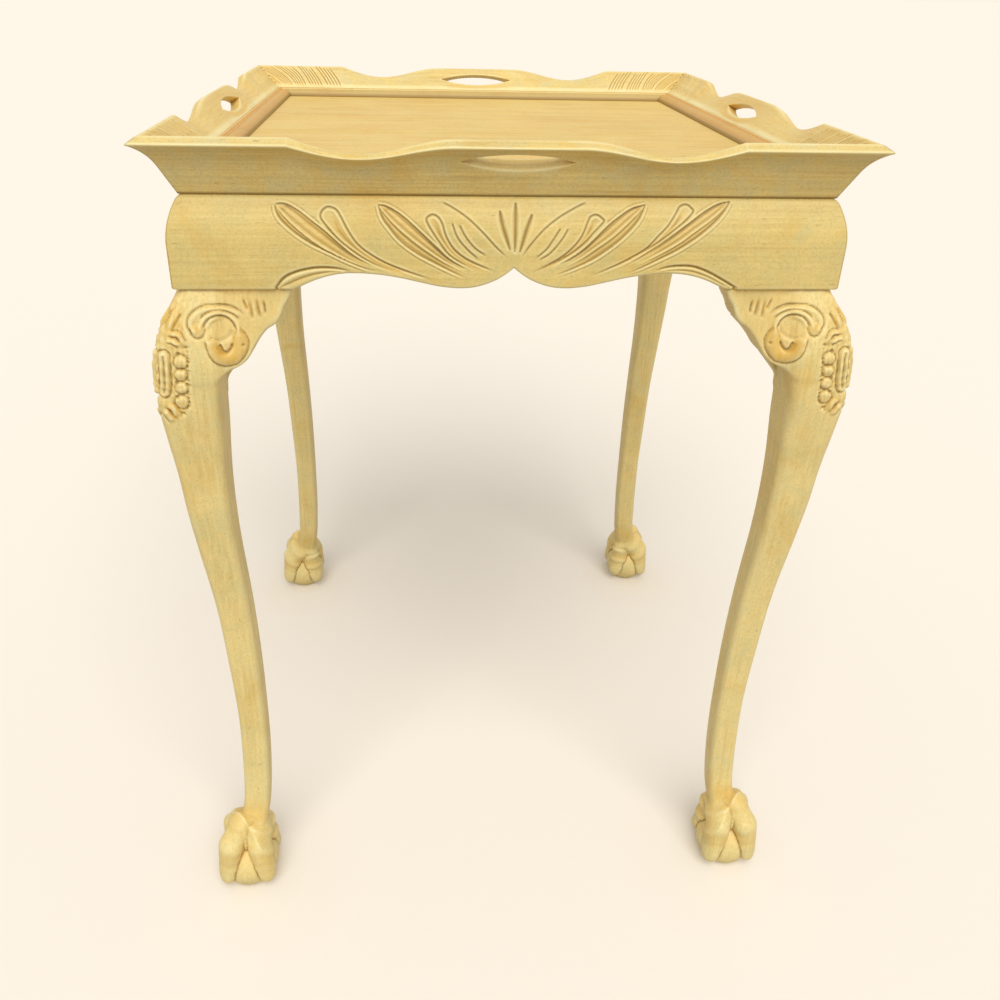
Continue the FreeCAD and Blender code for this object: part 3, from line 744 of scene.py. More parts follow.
loose_points, loose_quads, loose_caps, loose_stain = build_gallery()
gallery_points, gallery_faces, same = weld(loose_points, loose_quads)
gallery_caps = []
for cap in loose_caps:
    cap = same[cap]
    gallery_caps.append([int(v) for v, before in zip(cap, np.roll(cap, 1)) if v != before])
gallery_stain = np.zeros(len(gallery_points))
gallery_stain[same] = loose_stain
gallery_relief = crest_and_hollow(gallery_points, gallery_faces, rounds=14, full=0.35)
level = gallery_points[:, 2] - STAND_TOP
plain, low = gallery_stain <= 0.05, level < FEATHER_FOOT
gallery_relief = np.where(plain, np.maximum(gallery_relief, -0.12), gallery_relief)
gallery_relief = np.where(low, np.minimum(gallery_relief, 0.05), gallery_relief)
gallery_relief -= 1.1 * bell(level, 1.5)                     # painted shade in the joint along the foot
galleries = on_four_sides("scalloped_gallery_", "gallery_", "tray", gallery_points,
                          gallery_faces + gallery_caps, gallery_relief, gallery_stain)
print("gallery:", len(gallery_points), "points")

# %% [markdown]
# ## The beads
# A narrow moulding covers the joint between the tray's floor and its gallery: a small
# fillet against the board, a quirk, and a round that runs down to the floor.

# %% Build the beads
FILLET, QUIRK, QUIRK_DEPTH = 2.6, 0.5, 2.4
ROUND_TOP = 1.2                              # how far the round stays below the fillet
ROUND_END = 0.3                              # room between the round and the quirk
ROUND_TURN = math.radians(110)


def build_bead():
    board = -GALLERY_FOOT
    profile = [(board, 0), (board, BEAD_TALL), (board - FILLET, BEAD_TALL),
               (board - FILLET - QUIRK, BEAD_TALL - QUIRK_DEPTH)]
    for turn in np.linspace(ROUND_TURN, 0, 12):              # the round, down to the floor
        reach = (1 - math.cos(turn)) / (1 - math.cos(ROUND_TURN))
        profile.append((board - BEAD_WIDE + (BEAD_WIDE - FILLET - QUIRK - ROUND_END) * reach,
                        (BEAD_TALL - ROUND_TOP) * math.sin(turn)))
    ring = eased(profile, {1: 0.6, 2: 0.7}, 4)
    stations = np.linspace(-1, 1, 160)
    points = np.array([[(s * (HALF + o), -(HALF + o), FLOOR_LEVEL + h) for o, h in ring]
                       for s in stations])
    return points.reshape(-1, 3), *sweep_faces(len(stations), len(ring))


bead_points, bead_quads, bead_caps = build_bead()
bead_relief = crest_and_hollow(bead_points, bead_quads, rounds=6, full=0.3)
beads = on_four_sides("tray_bead_round_", "tray_bead_", "tray", bead_points,
                      bead_quads.tolist() + bead_caps, bead_relief, np.zeros(len(bead_points)))
print("bead:", len(bead_points), "points")

# %% [markdown]
# ## The legs
# A cabriole leg is sawn from thick stock and shaped with rasps until the square corners
# flow into the knee, the slim ankle and the foot.  Sections alone can't give the toes
# that part over the ball, so the leg is described as distances: rounded squares for the
# shaft, tapering toes, a ball, and the scrolled ears beside the knee, melted together.
# Where the distance is zero, a skin of quads is drawn (the surface nets method).

# %% Distances that make a leg: the shaft
SHAFT_FOOT = 62.0                            # lowest level of the shaft, inside the foot
SHOULDER_ROUND = 1.6                         # of the arris under the apron


def smooth_min(a, b, blend):
    """The lower of two distances, melted together over a blend."""
    h = np.maximum(blend - np.abs(a - b), 0) / blend
    return np.minimum(a, b) - h * h * blend * 0.25


def smooth_max(a, b, blend):
    return -smooth_min(-a, -b, blend)


def rounded_square(a, b, outer, inner, radius):
    """Distance to a square section, from its outer to its inner side on both axes."""
    middle, half = (outer + inner) / 2, (inner - outer) / 2
    qa = np.abs(a - middle) - (half - radius)
    qb = np.abs(b - middle) - (half - radius)
    return np.hypot(np.maximum(qa, 0), np.maximum(qb, 0)) \
        + np.minimum(np.maximum(qa, qb), 0) - radius


shaft_stations = np.array([
    # height, outer side, inner side (insets from the corner of the base), arris radius
    (605, -6, 20, 4), (591, -14.5, 20, 5.5), (573, -23, 20, 7), (553, -27.2, 20, 8),
    (523, -28, 16.5, 8), (496, -26, 15.5, 8), (460, -22.6, 13.6, 7.5), (425, -20.4, 13, 7),
    (385, -16.7, 13.7, 6.5), (324, -10.9, 16.5, 6), (263, -8, 18, 5.5), (202, -6, 18, 5),
    (152, -6.8, 17.2, 5), (118, -8.2, 15.6, 5), (98, -9.6, 14.2, 5.5), (80, -12, 12.4, 6.5),
    (62, -16, 9, 8)], float)
shaft_curve = smooth_curve(shaft_stations, 8)[::-1]


def shaft(a, b, z):
    """Distance to the shaft and the knee, up to the apron."""
    sizes = [np.interp(z, shaft_curve[:, 0], column) for column in shaft_curve.T[1:]]
    d = rounded_square(a, b, *sizes)
    return smooth_max(np.maximum(d, SHAFT_FOOT - z), z - APRON_BOTTOM, SHOULDER_ROUND)


print("shaft stations:", len(shaft_stations))

# %% [markdown]
# The foot is a ball that is held by four toes.  One toe is a chain of tapering knuckles;
# mirrored over both axes it gives all four.  A web joins them up to the ankle, slits part
# them above the ball, and a crease is left where they touch it.

# %% Distances that make a leg: the foot
toe_chain = np.array([
    # reach from the foot's axis, height, radius: three knuckles and a claw
    (3, 76, 8.5), (12.8, 65.5, 9.6), (16.2, 57, 9.2), (19.8, 47, 11.0), (21.5, 37, 9.9),
    (22.8, 27, 9.9), (24.8, 20, 8.8), (26.2, 15.5, 7.6)], float)
BALL = (-10.0, 20.0, 27.2)      # inset and height of its centre, and its radius


def toe(reach, aside, z):
    """Distance to one toe, knuckle by knuckle; a toe is a little wider than deep."""
    distance = None
    for (r0, z0, w0), (r1, z1, w1) in zip(toe_chain, toe_chain[1:]):
        dr, dz = r1 - r0, z1 - z0
        t = np.clip(((reach - r0) * dr + (z - z0) * dz) / (dr * dr + dz * dz), 0, 1)
        d = np.sqrt((reach - r0 - t * dr) ** 2 + (0.92 * aside) ** 2
                    + (z - z0 - t * dz) ** 2) - (w0 + t * (w1 - w0))
        distance = d if distance is None else smooth_min(distance, d, 2.5)
    return distance


def foot(a, b, z):
    """Distance to the four toes, the web between them and the ball they hold."""
    round_ball = np.sqrt((a - BALL[0]) ** 2 + (b - BALL[0]) ** 2 + (z - BALL[1]) ** 2) - BALL[2]
    # the inner toe starts lower than the outer one
    inward = np.clip(((a + b) / 2 - BALL[0]) / 15, -0.25, 1)
    z = z * (1 + 0.35 * inward * np.clip((z - 14) / 20, 0, 1))
    centre = np.interp(z, [42, 54, 68, 80], [-10, -9.0, -5.0, 0.5])
    fa, fb = np.abs(a - centre), np.abs(b - centre)
    toes = toe((fa + fb) / math.sqrt(2), (fa - fb) / math.sqrt(2), z)
    web_size = np.interp(z, [29, 37, 48, 58, 70, 82], [9, 14.5, 17.8, 17.4, 13.5, 8])
    web = np.maximum(np.hypot(a - centre, b - centre) - web_size,
                     np.maximum(29 - z, z - 82))
    beside = np.minimum(fa, fb)
    high = np.clip((z - 30) / 5, 0, 1) * np.clip((60 - z) / 14, 0, 1)
    slit = bell(beside, 1.9) - 0.75 * bell(beside - 0.2, 0.8)
    upper = smooth_min(toes, web, 5.0) + 3.4 * high * slit
    crease = bell(upper - round_ball, 1.4) * np.clip((56 - z) / 8, 0, 1)
    return smooth_min(upper, round_ball, 0.6) + 1.1 * crease


print("toe knuckles:", len(toe_chain), " ball radius:", BALL[2])

# %% [markdown]
# Beside the knee a scrolled ear reaches out under the apron.  Its lower edge is drawn as
# one contour, and its face swells towards the knee.  Where the contour climbs, the height
# above it is more than the distance to it, so the height is scaled down there.

# %% Distances that make a leg: the ears
EAR_FACE, EAR_BACK = 6.0, 18.0               # how far it stands out, and reaches back
EAR_SWELL, EAR_DROP = 22.0, 68.0             # the swelling, at this depth below the apron
ear_contour = smooth_curve([(-40, 544), (12, 545), (23, 546.5), (31, 549), (37.5, 553.5),
                            (42.5, 560.5), (47.5, 568.5), (53, 575), (58.5, 578.5),
                            (62.5, 583), (65.5, 590.5), (69.5, 597), (73.5, 606)], 6)


def ear(a, b, z):
    """The wing on the front side: a scrolled bracket that swells towards the knee."""
    drop = np.clip(APRON_BOTTOM - z, 0, EAR_DROP)
    swell = EAR_SWELL * np.sin(np.pi / 2 * drop / EAR_DROP)
    near = np.interp(a, [-6, 6, 14, 24, 34, 42, 50], [0.9, 0.86, 0.82, 0.72, 0.5, 0.25, 0.04])
    far = np.interp(a, [30, 50], [0.0, 0.12])
    face = -(EAR_FACE + near * swell + far * drop)
    slope = np.interp(a, [0, 20, 32, 41, 55, 61, 66, 73],
                      [1, 0.97, 0.75, 0.6, 0.75, 0.6, 0.5, 0.5])
    edge = (np.interp(a, ear_contour[:, 0], ear_contour[:, 1], right=640.0) - z) * slope
    body = smooth_max(smooth_max(face - b, edge, 3.5), b - EAR_BACK, 2.0)
    return smooth_max(smooth_max(body, 2 - a, 3.0), z - APRON_BOTTOM, SHOULDER_ROUND)


print("ear reaches", ear_contour[-1, 0], "mm from the corner")

# %% [markdown]
# ## Carving on the knee
# A C scroll with two reeds wraps a sunk round ground, a fat crescent closes it below,
# four short cuts run towards the ear's tip, and a drop and a string of pearls hang down
# the arris.  The drawing is the same on both sides of the arris.

# %% Draw the knee's carving (inset from the corner, height above the floor)
scroll_outer = [(3.5, 575.5), (0, 580.5), (-0.5, 585), (1, 588.5), (5.5, 592.5),
                (12, 595), (19.5, 595), (28, 593.5), (35, 590), (40, 585)]
scroll_middle = [(8, 585), (9, 587), (13, 590), (18.5, 591.5), (24.5, 590.5),
                 (30.5, 587.5), (35.5, 583.5)]
scroll_inner = [(11.5, 579.5), (11.5, 582.5), (14.5, 586), (19.5, 587.5), (25, 586),
                (29.5, 582), (32, 576.5)]
crescent_outer = [(12.5, 572), (12.5, 567), (14.5, 561), (18.5, 555.5), (24, 552), (30.5, 552),
                  (35.5, 556), (39, 561.5), (40, 567), (38.5, 572.5), (35, 577.5)]
crescent_inner = [(13.5, 573), (17.5, 572.5), (20.5, 568.5), (22.5, 563.5), (25.5, 562),
                  (28.5, 565), (30, 571.5), (32.5, 577)]
u_cut = [(20, 569.5), (21.5, 565.5), (23, 562.5), (25.5, 562), (28, 565), (29, 568.5)]
ear_cuts = [([(37, 600.5), (38.5, 595), (41.5, 588.5)], 1.5),
            ([(42, 599.5), (42.5, 591.5), (44, 582)], 2),
            ([(47, 600), (47.5, 592), (49, 583)], 2),
            ([(51.5, 598.5), (52.5, 591), (52.5, 585.5)], 1.5)]
pearls = [(-6.5, 557, 4.5), (-7.5, 547.5, 4), (-8, 537.5, 4), (-9, 526.5, 4.5)]
pearl_holes = [(-8, 563), (-6, 552), (-11, 542), (-12, 530.5)]
drop_core = [(-18, 561.5), (-18.5, 550), (-19, 541), (-20.5, 534.5)]
upper_husk = [(-5.5, 593), (-9.5, 588), (-12.5, 582), (-13, 578)]
lower_husks = [[(-19, 525.5), (-15, 520), (-13, 514)], [(-23, 521), (-19, 515), (-16.5, 510.5)]]
collars = [[(-15.5, 573), (-11, 572), (-6, 569)],
           [(-13, 577), (-6.5, 576), (-3.5, 570)]]
border = [(-2.5, 574), (-1, 564), (-1.5, 554.5), (-2, 544.5), (-3.5, 534), (-4, 525),
          (-7.5, 518.5), (-14, 512)]

print("knee drawing:", len(pearls), "pearls,", len(ear_cuts), "cuts on the ear")

# %% [markdown]
# The scroll and the crescent are the knee's main form, so they are cut first.  The
# crescent is left high, and it and the scroll's curled end keep the warmest stain.

# %% Carve the scroll and the crescent
def carve_scroll(u, z):
    """The C scroll with its two reeds, its curled end and the ground that it wraps."""
    d, side, along = stroke(u, z, scroll_outer)
    inward = -d * side
    fade = rise_and_fall(along, 0.04, 0.2)
    relief = fade * (groove(inward, 1.7, 1.3) + reed(inward, 1.0, 1.9, at=2.7))
    stain = 0.45 * fade * wash(np.abs(inward - 2.5), 3) * along
    d, _, along = stroke(u, z, scroll_middle)
    relief += rise_and_fall(along, 0.12, 0.12) * groove(d, 1.5, 1.2)
    d, side, along = stroke(u, z, scroll_inner)
    relief += rise_and_fall(along, 0.08, 0.1) * (
        groove(d, 2.0, 1.5) + reed(d * side, 0.9, 1.9, at=2.6))
    ground = np.hypot((u - 21.6) * 0.95, z - 578)
    return relief - 1.7 * np.clip((9.3 - ground) / 2.4, 0, 1), stain


def carve_crescent(u, z, relief):
    """The fat crescent stands over what it covers, with a U shaped cut and a dimple."""
    edge, edge_side, along = stroke(u, z, crescent_outer)
    inner, inner_side, _ = stroke(u, z, crescent_inner)
    inside = (edge_side > 0) & (inner_side < 0) & (edge + inner < 15)
    fat = inside * np.sin(np.pi * edge / (edge + inner + 1e-6)) ** 0.55
    relief = np.where(inside, np.maximum(relief, 0) * 0.3 + 2.3 * fat, relief)
    relief += rise_and_fall(along, 0.06, 0.06) * groove(edge, 1.3, 1.2)
    d, _, along = stroke(u, z, u_cut)
    relief += rise_and_fall(along, 0.15, 0.15) * groove(d, 2.6, 1.5)
    curl = np.hypot(u - 6.8, (z - 579.4) * 0.92)
    relief += reed(curl, 1.6, 4.8) + groove(curl, 1.5, 1.2, at=5.2) * (z < 580)
    dimple = np.hypot(u - 36.6, z - 566.4)
    return relief - 1.6 * bell(dimple, 1.0), 0.95 * fat ** 0.5 + 0.9 * wash(curl, 5.5, 1.2)


print("scroll drawn with", len(scroll_outer), "points on its outer line")

# %% [markdown]
# The strip along the arris is cut more roughly: its ground is sunk with a ragged row of
# punch marks, and on it sit the pearls, the drop, the husks and two collars.

# %% Carve the strip along the arris, and the whole knee
def carve_arris(u, z):
    """Pearls, a long drop, husks and collars along the arris."""
    relief = np.zeros(u.shape)
    stain = np.zeros(u.shape)
    for pearl_u, pearl_z, size in pearls:
        d = np.hypot(u - pearl_u, (z - pearl_z) * 0.95)
        relief += 1.7 * np.sqrt(reed(d, 1.0, size)) + groove(d, 1.1, 1.1, at=size + 0.7)
        stain += 0.3 * wash(d, 5)
    for hole_u, hole_z in pearl_holes:
        relief -= 2.6 * bell(np.hypot(u - hole_u, z - hole_z), 1.15)
    d, _, _ = stroke(u, z, drop_core)
    relief += reed(d, 1.9, 1.9, at=1.9) + groove(d, 1.6, 1.1, at=4.4)
    for husk in [upper_husk] + lower_husks:
        d, _, along = stroke(u, z, husk)
        fade = rise_and_fall(along, 0.3, 0.3)
        relief += fade * (reed(d, 1.5, 2.6) + groove(d, 1.4, 1.1, at=3.2))
        stain += 0.75 * fade * wash(d, 4, 1.2)
    for collar in collars:
        d, _, along = stroke(u, z, collar)
        fade = rise_and_fall(along, 0.2, 0.2)
        relief += fade * (reed(d, 1.4, 1.7) + groove(d, 1.3, 0.9, at=2.3))
        stain += 0.3 * fade * wash(d, 3)
    return relief, stain


def carve_knee(u, z):
    """Height and stain of the carving on the knee and the ear, in millimetres."""
    # the ground beside the arris is sunk, with a ragged row of punch marks along it
    edge, side, along = stroke(u, z, border)
    fade = rise_and_fall(along, 0.12, 0.12)
    relief = -0.9 * fade * np.clip(0.5 - edge * side / 1.6, 0, 1)
    marks = 0.5 + 0.5 * np.sin(along * 150 + 1.6 * np.sin(along * 31))
    relief -= 1.3 * fade * marks * bell(edge + 0.8 * np.sin(along * 47), 1.1)

    scroll_relief, stain = carve_scroll(u, z)
    relief, warm = carve_crescent(u, z, relief + scroll_relief)
    stain += warm

    # gouge cuts towards the tip of the ear, and a faint warm wash on it
    for cut, half_width in ear_cuts:
        d, _, reach = stroke(u, z, cut)
        relief += rise_and_fall(reach, 0.5, 0.3) * groove(d, 1.8, half_width)
        stain += 0.35 * rise_and_fall(reach, 0.3, 0.3) * wash(d, 4)
    stain += 0.25 * np.clip((u - 8) / 14, 0, 1) * np.clip((z - 552) / 10, 0, 1)

    # the strip along the arris is roughly cut and keeps its dirt
    strip = np.clip(0.6 - edge * side / 6, 0, 1) * (along < 0.999)
    uneven = np.sin(0.9 * u + 0.37 * z + 1.3 * np.sin(0.21 * z)) \
        * np.sin(0.53 * z - 0.71 * u + np.sin(0.4 * u))
    arris_relief, arris_stain = carve_arris(u, z)
    relief += arris_relief + 0.45 * strip * uneven
    stain += arris_stain + 0.35 * strip * (1 + 0.5 * uneven)
    return np.clip(relief, -2.8, 2.4), np.clip(stain, 0, 1)


print("relief on the crescent:", carve_knee(np.array([16.0]), np.array([560.0]))[0].round(1))

# %% [markdown]
# The skin is found cell by cell: wherever the distance changes sign along an edge of the
# grid, four cells meet, and one quad joins a point in each of them.

# %% Draw a skin where a field of distances is zero
def surface_net(field, axes):
    """Points and quads of the skin; the axes hold the grid's stations in X, Y and Z."""
    inside = field < 0
    cells = np.array(field.shape) - 1
    ids, spots, quads = [], [], []
    for axis in range(3):
        lower, upper = [slice(None)] * 3, [slice(None)] * 3
        lower[axis], upper[axis] = slice(0, -1), slice(1, None)
        edge = np.argwhere(inside[tuple(lower)] != inside[tuple(upper)])
        far = edge.copy()
        far[:, axis] += 1
        near_value, far_value = field[tuple(edge.T)], field[tuple(far.T)]
        t = near_value / (near_value - far_value)
        spot = np.stack([axes[k][edge[:, k]] for k in range(3)], 1).astype(float)
        spot[:, axis] += t * (axes[axis][far[:, axis]] - axes[axis][edge[:, axis]])
        ring = []
        for du, dv in ((0, 0), (-1, 0), (-1, -1), (0, -1)):
            cell = edge.copy()
            cell[:, (axis + 1) % 3] += du
            cell[:, (axis + 2) % 3] += dv
            ring.append(np.ravel_multi_index(tuple(cell.T), tuple(cells)))
        ids += ring
        spots += [spot] * 4
        quad = np.stack(ring, 1)
        entering = ~inside[tuple(edge.T)]
        quad[entering] = quad[entering][:, ::-1]
        quads.append(quad)
    unique, where = np.unique(np.concatenate(ids), return_inverse=True)
    where = where.reshape(-1)
    spots = np.concatenate(spots)
    count = np.bincount(where, minlength=len(unique))
    points = np.stack([np.bincount(where, spots[:, k], len(unique)) / count
                       for k in range(3)], 1)
    return points, np.searchsorted(unique, np.concatenate(quads))


stations = np.arange(-3.0, 4.0)
reach = np.sqrt(sum(axis ** 2 for axis in np.meshgrid(stations, stations, stations)))
print("a ball of 2 mm takes", len(surface_net(reach - 2.2, [stations] * 3)[1]), "quads")

# %% [markdown]
# The grid is fine at the foot and at the knee and wide along the plain shaft.  The knee's
# carving is pressed in on both outer faces; behind it a filler ties the ears to the post,
# and the post itself runs on, square, into the corner of the aprons.

# %% Build the legs
FINE, WIDE, SHAFT_STEP, POST_STEP = 0.91, 1.5, 4.5, 5.0      # the grid's steps
KNEE_SIDE, KNEE_END, EAR_END = -41, 54, 77           # insets between which it is fine, wide
FOOT_TOP, KNEE_FROM, POST_FROM, GRID_TOP = 112, 500, 609, 666
POST_MIDDLE, POST_HALF, POST_START = 30.5, 16.5, 566
FILLER_LOW, FILLER_TOP = 520, 575


def knee_field(grid, z):
    """Distances of the carved knee, its ears, the filler behind them and the post."""
    a, b = grid[:, None, None], grid[None, :, None]
    wing = ear(a, b, z)
    wing = smooth_min(wing, np.swapaxes(wing, 0, 1), 4.0)
    d = smooth_min(shaft(a, b, z), wing, 8.0)
    u, level = np.meshgrid(grid, z.ravel(), indexing="ij")
    relief, _ = carve_knee(u.astype(float), level.astype(float))
    number = np.arange(len(grid))
    outer_face = np.clip((5 - np.minimum(a, b)) / 5, 0, 1)
    d = d - relief[np.maximum(number[:, None], number)] * outer_face
    filler_width = np.interp(z, [528, 568], [15, 46.6])
    filler = np.maximum(np.maximum(a, b) - filler_width,
                        np.maximum(8 - np.minimum(a, b), z - FILLER_TOP))
    return smooth_min(d, np.maximum(filler, FILLER_LOW - z), 3.0)


def build_leg():
    grid = np.r_[np.arange(KNEE_SIDE, KNEE_END, FINE),
                 np.arange(KNEE_END + 0.5, EAR_END, WIDE)].astype(np.float32)
    zs = np.r_[np.arange(-2.05, FOOT_TOP, FINE), np.arange(FOOT_TOP + 1.5, KNEE_FROM, SHAFT_STEP),
               np.arange(KNEE_FROM + 1.5, POST_FROM - 1.5, FINE),
               np.arange(POST_FROM, GRID_TOP, POST_STEP)].astype(np.float32)
    a, b = grid[:, None, None], grid[None, :, None]
    post = np.maximum(np.abs(a - POST_MIDDLE), np.abs(b - POST_MIDDLE)) - POST_HALF
    foot_z, shaft_z, knee_z, post_z = (
        part[None, None, :] for part in np.split(zs, np.searchsorted(
            zs, [FOOT_TOP, KNEE_FROM, POST_FROM])))
    field = np.concatenate([
        np.maximum(smooth_min(shaft(a, b, foot_z), foot(a, b, foot_z), 7.0), -foot_z),
        shaft(a, b, shaft_z),
        np.minimum(knee_field(grid, knee_z), np.maximum(post, POST_START - knee_z)),
        np.maximum(post, post_z - POST_TOP)], 2)
    return surface_net(field.astype(np.float32), (grid, grid, zs))


leg_points, leg_quads = build_leg()
a, b, level = leg_points.T
_, leg_stain = carve_knee(np.maximum(a, b), level)
leg_stain *= (np.minimum(a, b) < 4) & (level > KNEE_FROM)
leg_stain += 0.5 * bell(level - 80, 13) + 0.35 * bell(level - 40, 8)     # ankle and toes
leg_relief = crest_and_hollow(leg_points, leg_quads, rounds=10, full=0.45)
# painted shade at the joint under the apron, along the leg's top
leg_relief -= 0.8 * bell(APRON_BOTTOM - level, 1.6) * (level < APRON_BOTTOM)
legs = []
for quarters, name in enumerate(CORNERS):
    side, before = SIDES[quarters], SIDES[quarters - 1]
    blocks = ["knee_block_%s_%s" % pair for pair in ((side, before), (before, side))]
    legs.append(mesh_piece("cabriole_leg_" + name, leg_points - [HALF, HALF, 0], leg_quads,
                           "stand", ["leg_" + name] + blocks, leg_relief, leg_stain, quarters))
print("leg:", len(leg_points), "points,", len(leg_quads), "quads")

# %% [markdown]
# ## Bleached, waxed wood
# The wood has been bleached to a pale straw and waxed.  What comes back on every piece is
# a node group: fine long grain, dark flecks, the bloom and old wax that bleaching left in
# patches, and the darker stain and painted shade in hollows while crests are rubbed pale.
# Nodes are placed by a few helpers, one for each kind that the woods need.

# %% Helpers for nodes
def feed(tree, inputs, values):
    """Give each named input its value, or link it to another node's socket."""
    for key, value in values.items():
        if isinstance(value, bpy.types.NodeSocket):
            tree.links.new(value, inputs[key])
        else:
            inputs[key].default_value = value


def add(tree, kind, values=None, **settings):
    """A new node with its settings and its inputs."""
    node = tree.nodes.new("ShaderNode" + kind)
    for key, value in settings.items():
        setattr(node, key, value)
    feed(tree, node.inputs, values or {})
    return node


def noise(tree, place, scale, detail, roughness=0.5, distortion=0.0):
    return add(tree, "TexNoise", {"Vector": place, "Scale": scale, "Detail": detail,
                                  "Roughness": roughness,
                                  "Distortion": distortion}).outputs["Fac"]


def remap(tree, value, low, high, least=0.0, most=1.0):
    """Values from low to high become least to most, and stop there."""
    return add(tree, "MapRange", {"Value": value, "From Min": low, "From Max": high,
                                  "To Min": least, "To Max": most}).outputs["Result"]


def combine(tree, operation, first, second):
    return add(tree, "Math", {0: first, 1: second}, operation=operation).outputs["Value"]


def stretch(tree, place, steps):
    return add(tree, "VectorMath", {0: place, 1: steps}, operation="MULTIPLY").outputs["Vector"]


def blend(tree, share, first, second):
    """The first colour, which gives way to the second as the share grows."""
    return add(tree, "Mix", {"Factor": share, 6: first, 7: second}, data_type="RGBA").outputs[2]


def group_of(name, inputs, outputs):
    """An empty node group; each input has a kind and a starting value."""
    tree = bpy.data.node_groups.new(name, "ShaderNodeTree")
    for label, kind, value in inputs:
        socket = tree.interface.new_socket(label, in_out="INPUT", socket_type="NodeSocket" + kind)
        if value is not None:
            socket.default_value = value
    for label, kind in outputs:
        tree.interface.new_socket(label, in_out="OUTPUT", socket_type="NodeSocket" + kind)
    return tree, tree.nodes.new("NodeGroupInput").outputs, tree.nodes.new("NodeGroupOutput").inputs


print("helpers for nodes ready")

# %% [markdown]
# Long grain is a noise that the board stretches along its length: fibres for the colour,
# slow clouds for the sheen, and a finer noise on top for the tooth of the surface.

# %% Node group: long grain
grain, g_in, g_out = group_of(
    "Long grain", [("Vector", "Vector", None)],
    [("Fibres", "Float"), ("Clouds", "Float"), ("Height", "Float")])
fibres = noise(grain, g_in["Vector"], 1.0, 5.0, 0.62, 0.15)
finer = noise(grain, g_in["Vector"], 3.2, 3.0, 0.6)
feed(grain, g_out, {"Fibres": fibres, "Clouds": noise(grain, g_in["Vector"], 0.16, 3.0, 0.5, 0.4),
                    "Height": combine(grain, "ADD", fibres, finer)})
print("group:", grain.name)

# %% [markdown]
# Dark flecks are the ends of pores that took up dirt.  They come from the peaks of one
# noise, so they stay sparse, and each wood says how strong they are.

# %% Node group: flecks
flecks, f_in, f_out = group_of(
    "Flecks", [("Vector", "Vector", None), ("Amount", "Float", 0.5)], [("Mask", "Float")])
peaks = remap(flecks, noise(flecks, f_in["Vector"], 2.2, 2.0), 0.67, 0.76)
feed(flecks, f_out, {"Mask": combine(flecks, "MULTIPLY", peaks, f_in["Amount"])})
print("group:", flecks.name)

# %% [markdown]
# Bleach leaves a greyish bloom in blotches, opens the pores, and old wax lies over both
# in warmer patches.  The blotches are passed on, as they also break up the wear.

# %% Node group: bloom, open pores and old wax
bleached, b_in, b_out = group_of(
    "Bleached and waxed",
    [("Vector", "Vector", None), ("Wood", "Color", (0.8, 0.6, 0.3, 1)),
     ("Limed", "Color", (0.6, 0.6, 0.35, 1)), ("Bloom", "Float", 0.3),
     ("Pores", "Color", (0.4, 0.3, 0.1, 1)), ("Wax", "Color", (0.7, 0.4, 0.1, 1))],
    [("Color", "Color"), ("Blotches", "Float")])
blotches = noise(bleached, b_in["Vector"], 46.0, 5.0, 0.62, 0.6)
dusty = remap(bleached, blotches, 0.42, 0.72, 0.0, b_in["Bloom"])
tone = blend(bleached, dusty, b_in["Wood"], b_in["Limed"])
pores = noise(bleached, b_in["Vector"], 560.0, 3.0, 0.7)
tone = blend(bleached, remap(bleached, pores, 0.46, 0.7, 0.0, 0.34), tone, b_in["Pores"])
patches = noise(bleached, b_in["Vector"], 21.0, 4.0, 0.6, 0.8)
tone = blend(bleached, remap(bleached, patches, 0.53, 0.7, 0.0, 0.34), tone, b_in["Wax"])
feed(bleached, b_out, {"Color": tone, "Blotches": blotches})
print("group:", bleached.name)

# %% [markdown]
# On carved work wax and dust stay in the hollows and hands rub the crests pale, and the
# hollows are darkened further with painted shade.  The mesh carries how far each point
# stands above or below its surroundings, and where the carver's stain was left, and this
# group turns both into colour.

# %% Node group: stain, dust and painted shade in the hollows, rubbed crests
# The colour of dust and painted shade in the hollows
DUST_AND_SHADE = (0.33, 0.22, 0.07, 1)
aged_and_shaded, a_in, a_out = group_of(
    "Rubbed, stained and shaded",
    [("Wood", "Color", (0.8, 0.6, 0.3, 1)), ("Stain", "Color", (0.5, 0.3, 0.1, 1)),
     ("Rubbed", "Color", (0.95, 0.85, 0.6, 1)), ("Relief", "Float", 0.0),
     ("Carved", "Float", 0.0), ("Break up", "Float", 0.5)],
    [("Color", "Color")])
# Hollows are darkened: dust, and painted shade where light would not reach
hollow = remap(aged_and_shaded, a_in["Relief"], -0.08, -0.9, 0.0, 0.9)
crest = remap(aged_and_shaded, a_in["Relief"], 0.08, 0.9, 0.0, 0.85)
uneven = remap(aged_and_shaded, a_in["Break up"], 0.3, 0.7, 0.6, 1.0)
warm = blend(aged_and_shaded, combine(aged_and_shaded, "MULTIPLY", a_in["Carved"], uneven), a_in["Wood"], a_in["Stain"])
dark = blend(aged_and_shaded, hollow, warm, DUST_AND_SHADE)
worn = combine(aged_and_shaded, "MULTIPLY", crest, uneven)
feed(aged_and_shaded, a_out, {"Color": blend(aged_and_shaded, worn, dark, a_in["Rubbed"])})
print("group:", aged_and_shaded.name)

# %% [markdown]
# One function makes every wood, with the grain along the board's own length.  Pale and
# deep are the two tones of the grain, limed is the greyish bloom that bleaching leaves,
# stain is the carver's warm wash, and rubbed is the tone of a worn crest.

# %% One function for every wood
GRAIN_LONG, GRAIN_ACROSS = 9.0, 420.0        # how often the grain repeats in a metre
FLECK_LONG, FLECK_ACROSS = 60.0, 330.0


def srgb(*colour):
    """A colour as it looks on screen, 0 to 255, as the linear value that nodes use."""
    return tuple(((c / 255 + 0.055) / 1.055) ** 2.4 if c > 10 else c / 255 / 12.92
                 for c in colour) + (1.0,)


